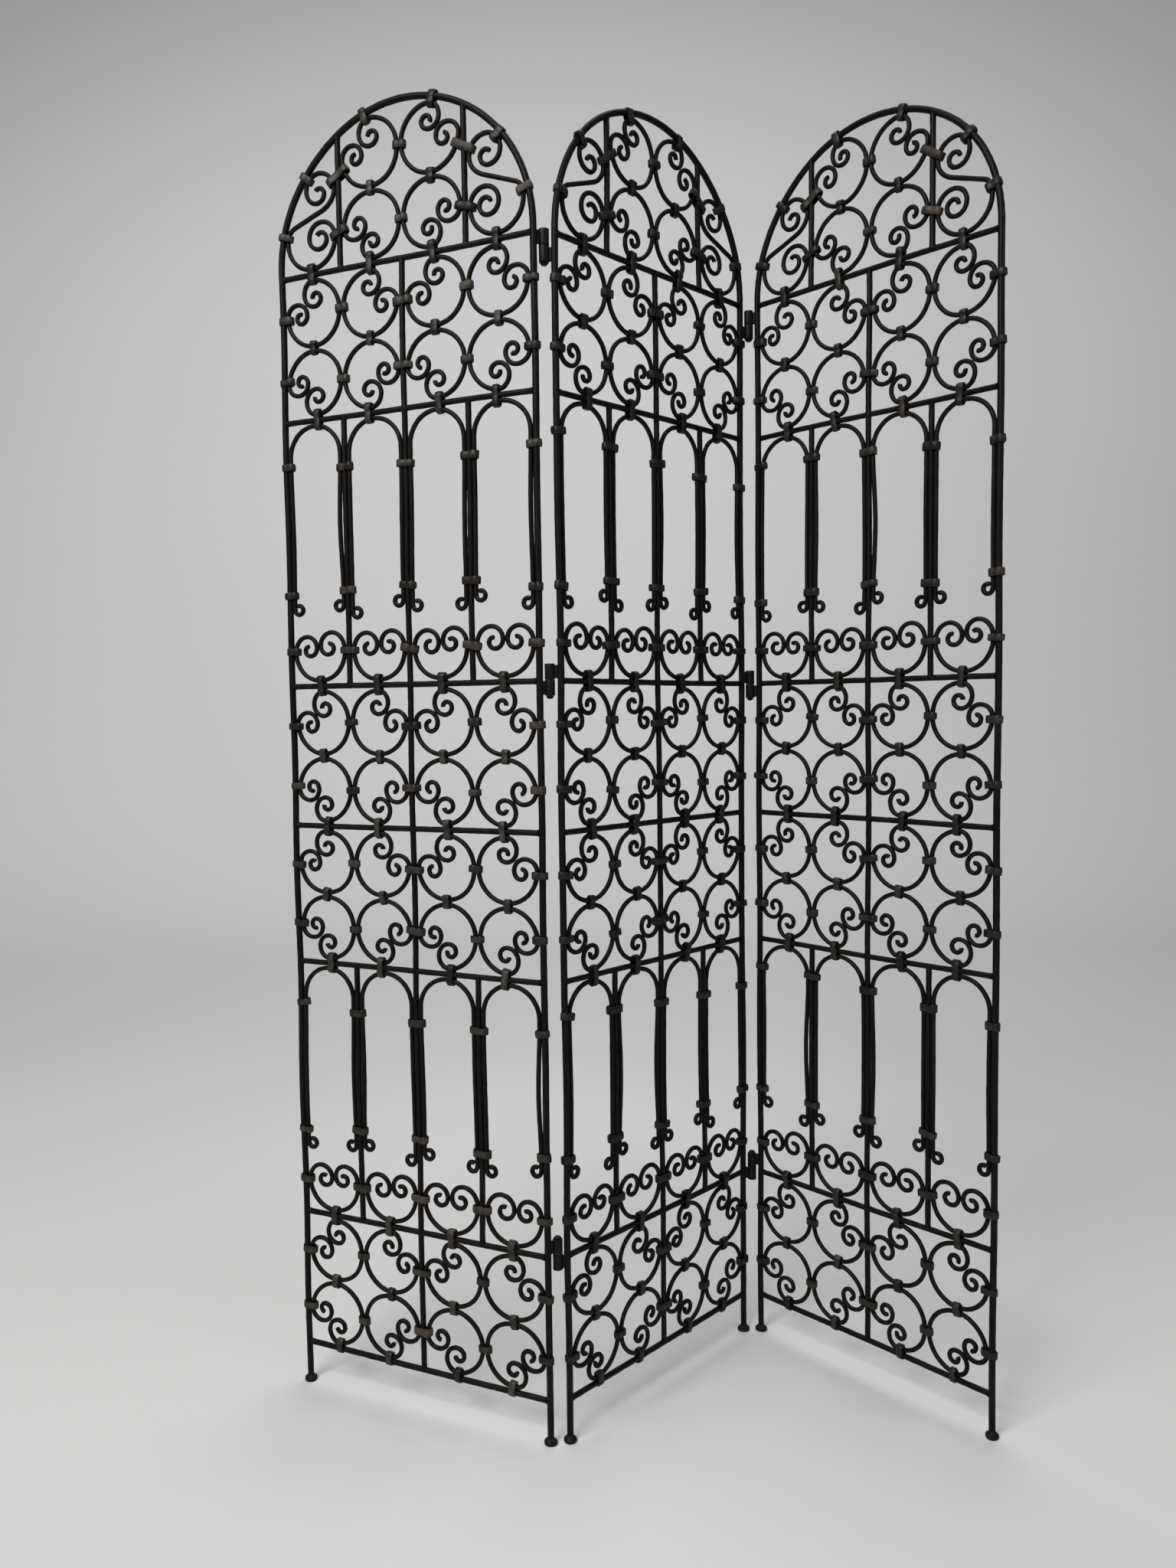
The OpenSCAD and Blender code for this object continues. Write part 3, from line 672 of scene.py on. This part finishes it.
for panel in PANELS:
    for block in ("upper", "middle", "lower"):
        node = f"{panel}_{block}_scrolls"
        parts = [c_scroll_bar(solid, panel) for solid in solids_of(node, panel)]
        build_piece(f"{panel}_{block}_scroll_bars", panel, parts, "scroll_iron", [node])
    print(panel, "scrolls done")

# %% [markdown]
# The baskets at the foot of each arcade are the same thing with wider curls, standing open side up.

# %% Baskets
BASKET_PLAIN_TURN, BASKET_SCATTER = 88, 2.2

for panel in PANELS:
    for arcade in ("upper", "lower"):
        node = f"{panel}_{arcade}_baskets"
        parts = []
        for solid in solids_of(node, panel):
            low, high = solid.min(0), solid.max(0)
            bar = (high[1] - low[1]) / 2
            radius = (high[0] - low[0]) / 2 - bar
            centre = np.array([(low[0] + high[0]) / 2, low[2] + bar + radius])
            lean = rng.uniform(-1, 5)
            path = whole_scroll(radius, bar, BASKET_PLAIN_TURN, BASKET_CURL, BASKET_SCATTER)
            parts.append(tube(turned(path, lean) + centre, bar, panel))
        build_piece(f"{panel}_{arcade}_basket_bars", panel, parts, "scroll_iron", [node])
    print(panel, "baskets done")

# %% [markdown]
# ## The arch's filling
# In the arch stand four C-scrolls and, to either side, a tall S-scroll. Its lower ring touches the
# rail, the quarter bar and the arch, and from there its neck slants to a smaller curl that turns
# the other way. The neck bends sharply above its tie to the arch, then runs straight to the quarter
# bar. A neck drawn by eye could miss its ties, so the slant is found by halving the error.

# %% The ends and the neck of an S-scroll
LOWER_CURL = [
    (1.0, 1.0, 86), (0.62, 0.54, 94), (0.55, 0.48, 90), (0.44, 0.38, 90),
    (0.35, 0.3, 90), (0.27, 0.22, 90), (0.2, 0.18, 70),
]
UPPER_CURL = [
    (1.0, 1.0, -90), (0.8, 0.86, -90), (0.88, 0.62, -90), (0.52, 0.42, -90), (0.36, 0.28, -150)
]
SIDE_TURN = 103  # how far the lower ring goes round its outer side before the neck bends over
SLANT_HALVINGS = 20
UPPER_START = 2.6  # where the upper curl starts, in radii of the lower ring above its lowest point


def neck_of(radius, rise):
    """The stretches from an S-scroll's lowest point to its upper curl, at a height of rise."""
    low, high = 50.0, 85.0
    for _ in range(SLANT_HALVINGS):
        slant = (low + high) / 2
        over, back = (13.0, 26.0, slant - (SIDE_TURN - 90)), (48.0, 22.0, -slant)
        bent = walk((0, 0), 0, [(radius, radius, SIDE_TURN), over])[-1]
        end = walk(bent, 90 + slant, [back])[-1]
        straight = (radius + end[0]) / math.sin(math.radians(slant))
        if end[1] + straight * math.cos(math.radians(slant)) > rise:
            low = slant
        else:
            high = slant
    return [(radius, radius, SIDE_TURN), over, ("run", straight), back]


# %% S-scrolls
def s_scroll_path(solid, width):
    """The path of an S-scroll, from its solid's box, and its bar. The right one is mirrored."""
    low, high = solid.min(0), solid.max(0)
    bar = (high[1] - low[1]) / 2
    flip = low[0] > width / 2
    left, right = (width - high[0], width - low[0]) if flip else (low[0], high[0])
    radius = (right - left) / 2 - bar
    middle, floor = (left + right) / 2, low[2] + bar
    start = floor + UPPER_START * radius
    reach = high[2] - bar - start
    lower = sized(LOWER_CURL, radius, rng.uniform(-25, 25))
    upper = neck_of(radius, start - floor) + sized(UPPER_CURL, reach, rng.uniform(-25, 25))
    right_way = walk((middle, floor), 0, lower)
    left_way = mirrored(walk((middle, floor), 0, upper), middle)
    path = np.concatenate([left_way[:0:-1], right_way])
    return (mirrored(path, width / 2) if flip else path), bar


for panel in PANELS:
    node, width, parts = panel + "_arch_scrolls", FRAMES[panel]["width"], []
    for solid in solids_of(node, panel):
        spread = solid.max(0) - solid.min(0)
        if spread[2] > 1.3 * spread[0]:
            parts.append(tube(*s_scroll_path(solid, width), panel))
        else:
            parts.append(c_scroll_bar(solid, panel))
    build_piece(panel + "_arch_scroll_bars", panel, parts, "scroll_iron", [node])
    print(panel, "arch filling:", len(parts), "bars")

# %% [markdown]
# ## Hoops
# Four hoops hang in each arcade. A hoop is one long bar bent over in the middle, and each leg ends
# in a small closed curl. The legs run beside the uprights and are bound to them near both ends. In
# between they were never straightened, so most of them bow off, and slits of light show there.

# %% Hoops
CURL_RADIUS = 6.5
LEG_STEP = 5.0
BOWS_MM, BOW_SHARES = [0.1, 0.6, 1.5, 3.0], [0.42, 0.3, 0.18, 0.1]


def hoop_leg(radius, run, bow):
    """Half a hoop from the middle of its head: over, down, and round the curl at the foot."""
    path = walk((0, 0), 0, [(radius, radius, -90), ("run", run)], LEG_STEP)
    turn_in, eye = (40, 14, -18), (CURL_RADIUS * 1.08, CURL_RADIUS * 0.94, -285)
    curl = walk(path[-1], -90, [turn_in, eye])
    down = np.clip((-path[:, 1] - radius) / run, 0, 1)
    path[:, 0] -= bow * np.sin(np.pi * np.clip(down * 1.08 - 0.02, 0, 1)) ** 2
    return np.concatenate([path, curl[1:]])


for panel in PANELS:
    for arcade in ("upper", "lower"):
        node, parts = f"{panel}_{arcade}_hoops", []
        for solid in solids_of(node, panel):
            low, high = solid.min(0), solid.max(0)
            bar = (high[1] - low[1]) / 2
            radius, middle = (high[0] - low[0]) / 2 - bar, (low[0] + high[0]) / 2
            crown = high[2] - bar
            legs = []
            for side in (-1, 1):
                own = solid[(solid[:, 0] - middle) * side > 0]
                foot = own[:, 2].min() + bar + CURL_RADIUS
                leg = hoop_leg(radius, crown - radius - foot, rng.choice(BOWS_MM, p=BOW_SHARES))
                legs.append(leg * [side, 1] + [middle, crown])
            parts.append(tube(np.concatenate([legs[0][:0:-1], legs[1]]), bar, panel))
        build_piece(f"{panel}_{arcade}_hoop_bars", panel, parts, "scroll_iron", [node])
    print(panel, "hoops done")

# %% [markdown]
# ## Collars
# Each tie is a strip about 10 mm wide and 2 mm thick, wrapped hot round two or three bars until its
# ends lap. A band of even thickness would look like a clip from a machine. So the strip is drawn as
# a path round the bars that goes a little over once and climbs onto itself at the lap, it is
# pinched where it spans the gap between two bars, and each one sits askew. The middle of its face
# is painted paler, partly as wear from hands and dusters and partly as a painted highlight, while
# its sides stay as black as the bars. The left panel's strips are the palest.


# %% The loop that a strip follows
def long_round(half, inner, share):
    """A point on a long round loop, and the way out from it, by its share of the way round."""
    straight, bend = 2 * half, math.pi * inner
    d = (share % 1.0) * 2 * (straight + bend)
    for side in (1, -1):
        if d < straight:
            return np.array([side * (d - half), -side * inner]), np.array([0.0, -side])
        d -= straight
        if d < bend:
            a = d / inner - math.pi / 2
            out = side * np.array([math.cos(a), math.sin(a)])
            return np.array([side * half, 0.0]) + inner * out, out
        d -= bend
    return np.array([-half, -inner]), np.array([0.0, -1.0])


def lie_of(solid):
    """A collar's middle, the way its loop runs in the panel, and its length, width and depth."""
    centre = (solid.max(0) + solid.min(0)) / 2
    flat = solid[:, [0, 2]] - centre[[0, 2]]
    ways = np.linalg.eigh(flat.T @ flat)[1]
    length, width = np.ptp(flat @ ways[:, 1]), np.ptp(flat @ ways[:, 0])
    return centre, ways[:, 1], length, width, np.ptp(solid[:, 1])


# %% The faces of a strip
# Its section from edge to edge over its face: shares of its width and thickness, and its wear
# with a painted highlight, highest in the middle of the face
SECTION = [
    (-0.5, 0.0, 0.0), (-0.5, 0.62, 0.05), (-0.4, 0.95, 0.55), (0.0, 1.06, 0.9),
    (0.4, 0.95, 0.55), (0.5, 0.62, 0.05), (0.5, 0.0, 0.0),
]
SECTION_WEAR_AND_HIGHLIGHT = [worn for _, _, worn in SECTION]
SECTIONS = 30


def strip_faces():
    """The faces between a strip's sections, and three flat ones that close each of its ends."""
    n = len(SECTION)
    i, j = np.meshgrid(np.arange(SECTIONS - 1), np.arange(n), indexing="ij")
    k = (j + 1) % n
    quads = np.stack([i * n + j, (i + 1) * n + j, (i + 1) * n + k, i * n + k], -1).reshape(-1, 4)
    ends = []
    for first, order in ((0, -1), ((SECTIONS - 1) * n, 1)):
        for corners in ((0, 1, 5, 6), (1, 2, 4, 5), (2, 3, 4)):
            face = [first + corner for corner in corners][::order]
            ends.append(face + [NO_CORNER] * (4 - len(face)))
    return np.concatenate([quads, np.array(ends)])


STRIP_FACES = strip_faces()
print("each strip has", len(STRIP_FACES), "faces")

# %% Wrapping a strip
STRIP_THICK = 1.75
# How pale each panel's strips are: it scales their wear with its painted highlight, and their age
STRIP_PALENESS = {"left_panel": 1.0, "middle_panel": 0.35, "right_panel": 0.6}


def strip(solid, panel):
    """A hand-wrapped strip in the place of a collar, and the wear with a painted highlight of each of
    its points.
    """
    centre, way, length, width, depth = lie_of(solid)
    inner, half = depth / 2 - STRIP_THICK, length / 2 - depth / 2
    lean = math.radians(rng.normal(0, 3.5))
    way = np.array([math.cos(lean), math.sin(lean)]) @ [[way[0], way[1]], [-way[1], way[0]]]
    across = np.array([-way[1], way[0]])
    width *= rng.uniform(0.94, 1.14)
    # The lap lies on the back, now and then on the front
    lap_at = 0.25 + 0.5 * (rng.random() < 0.25)
    lap_at += rng.uniform(-0.06, 0.06)
    lap = rng.uniform(0.10, 0.17)
    skew, phases = rng.uniform(-0.8, 0.8), rng.uniform(0, FULL_TURN, 3)
    places = []
    for i in range(SECTIONS):
        t = i / (SECTIONS - 1)
        # The strip was hammered out by eye, and its outer end tapers
        waves = 0.045 * math.sin(14 * t + phases[0]), 0.03 * math.sin(31 * t + phases[1])
        wide = width * (1 + waves[0] + waves[1])
        thick = STRIP_THICK * (1 + 0.1 * math.sin(23 * t + phases[2]))
        thin = 1 - 0.45 * max(0, (t - 0.93) / 0.07)
        share = t * (1 + lap)
        spot, out = long_round(half, inner, lap_at + share)
        climb = STRIP_THICK * 1.03 * np.clip((share - 1 + 0.05) / 0.06, 0, 1)
        pinch = 0.35 * math.exp(-((spot[0] / 2.2) ** 2))
        spot = spot + out * (climb - pinch)
        for sideways, up, _ in SECTION:
            place = spot + out * up * thick * thin
            aside = sideways * wide + skew * (t - 0.5)
            x, z = place[0] * way + aside * across
            places.append([x, place[1], z])
    rough = rng.normal(0, 0.1, (len(places), 3))
    points = np.array(places) + rough + drifted(centre[None, :], panel)
    # Wear with a painted highlight: palest across the middle of the face, none on the sides
    wear_and_painted_highlight = np.tile(SECTION_WEAR_AND_HIGHLIGHT, SECTIONS) * rng.uniform(0.05, 0.8) * STRIP_PALENESS[panel]
    return (points, STRIP_FACES), wear_and_painted_highlight


for panel in PANELS:
    for group in ("top", "middle", "bottom"):
        node = f"{panel}_{group}_collars"
        made = [strip(solid, panel) for solid in solids_of(node, panel)]
        ages = rng.beta(1.1, 2.6, len(made)) * (0.45 + 0.7 * STRIP_PALENESS[panel])
        build_piece(
            f"{panel}_{group}_strips", panel, [m[0] for m in made], "collar_iron", [node],
            ages=ages, wear_and_painted_highlight=[m[1] for m in made],
        )
    print(panel, "strips wrapped")

# %% [markdown]
# ## Feet
# Each stile's lower end was heated and struck down into a button, so it is flat below, bulges at
# the rim and draws in to the bar. A sphere could be squashed for it, but would have no flat base. A
# turned profile has one, and a slow wave round the rim takes away the lathe's look.


# %% Turned pieces and the feet
def turned_piece(profile, sides, wobble=0.0, squash=0.0, bored=False):
    """A profile of (radius, height) turned about z: closed by discs, or bored right through."""
    around = np.arange(sides) * 2 * np.pi / sides
    phase = rng.uniform(0, FULL_TURN, 3)
    uneven = 1 + wobble * (np.sin(2 * around + phase[0]) + 0.6 * np.sin(3 * around + phase[1]) - 1.2)
    rings = np.array([
        [[r * u * math.cos(a), r * u * math.sin(a), z] for a, u in zip(around, uneven)]
        for r, z in profile
    ])
    rings[..., 2] += squash * (rings[..., 2] > 0.5) * np.sin(around + phase[2])[None, :]
    points = rings.reshape(-1, 3)
    if not bored:
        points = np.concatenate([points, [[0, 0, profile[0][1]], [0, 0, profile[-1][1]]]])
    return points, skin(len(profile), sides, bored)


# A struck foot's outline from the floor up: shares of the button's radius and of its height
FOOT_PROFILE = [
    (0.84, 0), (0.94, 0.04), (1.01, 0.15), (1.03, 0.3), (1.01, 0.44), (0.93, 0.57),
    (0.8, 0.68), (0.65, 0.79), (0.53, 0.93), (0.47, 1.15), (0.445, 1.5),
]


def struck_foot(solid, panel):
    """A button foot in the place of its solid, on the floor."""
    low, high = solid.min(0), solid.max(0)
    r, h = (high[0] - low[0]) / 2, high[2] - low[2]
    profile = [(out * r, up * h) for out, up in FOOT_PROFILE]
    points, faces = turned_piece(profile, 28, wobble=0.03, squash=0.25)
    points[:, 2] = np.maximum(points[:, 2], 0)
    at = drifted(np.array([[(low[0] + high[0]) / 2, 0, 0.0]]), panel)[0]
    return points + [at[0], at[1], 0], faces


for panel in PANELS:
    feet = [struck_foot(solid, panel) for solid in solids_of(panel + "_feet", panel)]
    build_piece(panel + "_struck_feet", panel, feet, "foot_iron", [panel + "_feet"])
    print(panel, "feet struck:", len(feet))

# %% [markdown]
# ## Hinges
# Each hinge is two short lengths of thick tube, one welded to either stile, on a pin with a domed
# head. They are plain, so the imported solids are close. They still need a sawn edge that catches the
# light and the lumpy bead of the weld, so each knuckle is turned from a profile and its weld is a
# row of small overlapping drops.

# %% Knuckles
HINGES = {
    "left_hinge_outer_knuckles": ("left_panel", "_right_stile"),
    "left_hinge_inner_knuckles": ("middle_panel", "_left_stile"),
    "right_hinge_inner_knuckles": ("middle_panel", "_right_stile"),
    "right_hinge_outer_knuckles": ("right_panel", "_left_stile"),
}
BORE_RADIUS, NEAR_AXIS = 3.55, 7.0
EDGE = 0.7  # how far the sawn edge of a knuckle is worn round
DROPS, DROP_INSET = 9, 3.4


def knuckle_tube(low, high, barrel):
    """A knuckle's profile between two heights: out from the bore, up its side and back in."""
    return [
        (BORE_RADIUS, low), (barrel - EDGE, low), (barrel - 0.2, low + 0.25 * EDGE),
        (barrel, low + EDGE), (barrel * 0.985, (low * 2 + high) / 3),
        (barrel * 0.992, (low + 2 * high) / 3), (barrel, high - EDGE),
        (barrel - 0.2, high - 0.25 * EDGE), (barrel - EDGE, high), (BORE_RADIUS, high),
    ]


def knuckle(solid, axis, stile_at, barrel):
    """A tube round the hinge's axis, and the bead that joins it to the stile."""
    low, high = solid[:, 2].min(), solid[:, 2].max()
    points, faces = turned_piece(knuckle_tube(low, high, barrel), 28, bored=True)
    parts = [(points + [axis[0], axis[1], 0], faces)]
    way = stile_at - axis
    reach = np.linalg.norm(way)
    way = way / reach
    beside = np.array([-way[1], way[0]])
    for face in (-1, 1):
        for i in range(DROPS):
            z = low + DROP_INSET + (high - low - 2 * DROP_INSET) * i / (DROPS - 1)
            size = rng.uniform(1.75, 2.15)
            ball = [(size * math.cos(a), size * math.sin(a)) for a in np.linspace(-1.45, 1.45, 7)]
            drop, drop_faces = turned_piece(ball, 10, wobble=0.05)
            # A drop fills the corner between tube and stile, so it is longer that way
            at = axis + way * (reach * 0.64) + beside * face * 1.1
            plan = drop[:, :1] * way * 1.9 + drop[:, 1:2] * beside * 0.9
            parts.append((np.concatenate([plan + at, 0.95 * drop[:, 2:] + z], 1), drop_faces))
    return parts


for node, (panel, stile) in HINGES.items():
    solids = solids_of(node, panel)
    pins = node[: node.index("hinge")] + "hinge_pins"
    pin_at = np.mean([s[:, :2].min(0) + s[:, :2].max(0) for s in solids_of(pins, panel)], 0) / 2
    stile_at = np.array([0.0 if stile == "_left_stile" else FRAMES[panel]["width"], 0.0])
    parts = []
    for solid in solids:
        near = solid[np.linalg.norm(solid[:, :2] - pin_at, axis=1) < NEAR_AXIS][:, :2] - pin_at
        barrel = np.linalg.norm(near, axis=1)[near @ (stile_at - pin_at) < 0].max()
        parts += knuckle(solid, pin_at, stile_at, barrel)
    build_piece(node + "_welded", panel, parts, "hinge_iron", [node])
    print(node, len(solids), "knuckles")

# %% Pins
DOME, DOME_EDGE = 4.0, 0.5


def pin_profile(shaft, head, length):
    """The outline of a pin from its tip up to the top of its domed head."""
    collar = length - DOME
    profile = [(shaft - 0.5, 0), (shaft, 0.5), (shaft, collar - 0.01)]
    profile += [(head - 0.4, collar), (head, collar + DOME_EDGE)]
    for a in np.linspace(0.3, 1.5, 6):
        profile.append((head * math.cos(a), collar + DOME_EDGE + (DOME - DOME_EDGE) * math.sin(a)))
    return profile


for side in ("left", "right"):
    node, parts = side + "_hinge_pins", []
    for solid in solids_of(node, "middle_panel"):
        low, high = solid.min(0), solid.max(0)
        at = (low + high) / 2
        wide = np.linalg.norm(solid[:, :2] - at[:2], axis=1)
        head = wide.max()
        up = solid[wide > 0.8 * head][:, 2].mean() > at[2]
        tip = low[2] if up else high[2]
        shaft = wide[np.abs(solid[:, 2] - tip) < 0.5].max()
        points, faces = turned_piece(pin_profile(shaft, head, high[2] - low[2]), 24)
        # A pin whose head is down is turned over, not mirrored
        points = points * ([1, 1, 1] if up else [1, -1, -1])
        parts.append((points + [at[0], at[1], tip], faces))
    build_piece(node + "_headed", "middle_panel", parts, "hinge_iron", [node])
    print(node, "have heads", round(head * 2, 1), "mm across")

# %% [markdown]
# ## Floor, backdrop and light
# The photograph is a studio one: a seamless pale sweep and large soft lamps. The sweep is one bent
# sheet, so no line shows where floor and wall meet. It is paler on the far wall, at the bend and on
# two patches of floor. More lamps could do that, but they would wash out the iron. So the paper
# adds a faint glow of its own there, which only the camera and mirrored or see-through views meet.
# It throws no light on the screen, and the floor between the two keeps its shadows.

# %% The shape of the sweep
BEND_AT, BEND = 3.3, 2.2
COLUMNS, ROWS = np.linspace(-9, 9, 61), np.linspace(-6, 11.5, 71)


def sheet_point(along):
    """How far back and how high the sheet is, by the distance along it from under the screen."""
    bent = (along - BEND_AT) / BEND
    if bent < 0:
        return along, 0.0
    if bent < math.pi / 2:
        return BEND_AT + BEND * math.sin(bent), BEND - BEND * math.cos(bent)
    return BEND_AT + BEND, BEND + (bent - math.pi / 2) * BEND


mesh, n = bpy.data.meshes.new("sweep"), len(COLUMNS)
mesh.from_pydata(
    [(x, *sheet_point(along)) for along in ROWS for x in COLUMNS],
    [],
    [
        (i * n + j, i * n + j + 1, (i + 1) * n + j + 1, (i + 1) * n + j)
        for i in range(len(ROWS) - 1) for j in range(n - 1)
    ],
)
mesh.polygons.foreach_set("use_smooth", np.ones(len(mesh.polygons), bool))
print("sweep:", len(mesh.polygons), "faces")

# %% The glow of the sweep
# Painted pools of light, in metres: middle across and along the sheet, reach both ways, and strength
PAINTED_LIGHT_POOLS = [
    (-0.35, 8.15, 5.2, 2.2, 0.31),  # the wall behind the arches
    (-3.4, 4.8, 10.8, 2.6, 0.225),  # the bend, paler to the left
    (0.15, 1.1, 0.85, 0.55, 0.07),  # the floor behind the screen
    (-0.05, -0.45, 0.55, 0.4, 0.12),  # the floor in front of it
]


def glow_at(across, along):
    """The sum of all painted pools of light at a place on the sheet."""
    return sum(
        strength * math.exp(-(((across - x) / wide) ** 2) - ((along - s) / long) ** 2)
        for x, s, wide, long, strength in PAINTED_LIGHT_POOLS
    )


glow = [glow_at(x, along) for along in ROWS for x in COLUMNS]
mesh.attributes.new("glow", "FLOAT", "POINT").data.foreach_set("value", glow)

paper = bpy.data.materials.new("matt grey studio paper")
paper.use_nodes = True
paper_shader = paper.node_tree.nodes["Principled BSDF"]
paper_shader.inputs["Base Color"].default_value = linear("cfcfce")
paper_shader.inputs["Roughness"].default_value = 0.95
rays = add_node(paper, "ShaderNodeLightPath")
seen = rays.outputs["Is Camera Ray"]
for ray in ("Is Glossy Ray", "Is Transmission Ray"):
    seen = add_node(
        paper, "ShaderNodeMath", {"operation": "MAXIMUM"}, {0: seen, 1: rays.outputs[ray]}
    ).outputs["Value"]
pools = add_node(paper, "ShaderNodeAttribute", {"attribute_name": "glow"}).outputs["Fac"]
glow_now = add_node(
    paper, "ShaderNodeMath", {"operation": "MULTIPLY"}, {0: pools, 1: seen}
).outputs["Value"]
paper.node_tree.links.new(glow_now, paper_shader.inputs["Emission Strength"])
paper_shader.inputs["Emission Color"].default_value = linear("fbfbff")
sweep = bpy.data.objects.new("studio_sweep", mesh)
sweep.data.materials.append(paper)
scene.collection.objects.link(sweep)
print("sweep glow: up to", round(max(glow), 3))


# %% Lamps and sky
def soft_lamp(name, at, towards, size, watts):
    """A square white area lamp that faces a point."""
    data = bpy.data.lights.new(name, "AREA")
    data.shape, data.size, data.energy = "SQUARE", size, watts
    lamp = bpy.data.objects.new(name, data)
    direction = Matrix.Translation(at).translation - Matrix.Translation(towards).translation
    lamp.rotation_euler = direction.to_track_quat("Z", "Y").to_euler()
    lamp.location = at
    scene.collection.objects.link(lamp)


soft_lamp("key_lamp", (-1.8, -2.6, 3.6), (0, 0, 0.8), 2.0, 160)
soft_lamp("fill_lamp", (3.2, -2.2, 2.2), (0, 0, 0.9), 3.0, 26)
soft_lamp("top_lamp", (0.3, 1.5, 4.0), (0, 0.2, 0.5), 2.4, 58)

world = bpy.data.worlds.new("studio air")
world.use_nodes = True
world.node_tree.nodes["Background"].inputs["Color"].default_value = linear("d9d9d9")
world.node_tree.nodes["Background"].inputs["Strength"].default_value = 0.21
scene.world = world
scene.view_settings.view_transform = "Standard"

# %% [markdown]
# ## Sizes
# The redrawn bars must stay inside the imported model's box.

# %% Print the imported model's box
print("packed box:", [[round(v, 4) for v in c] for c in cad_box])
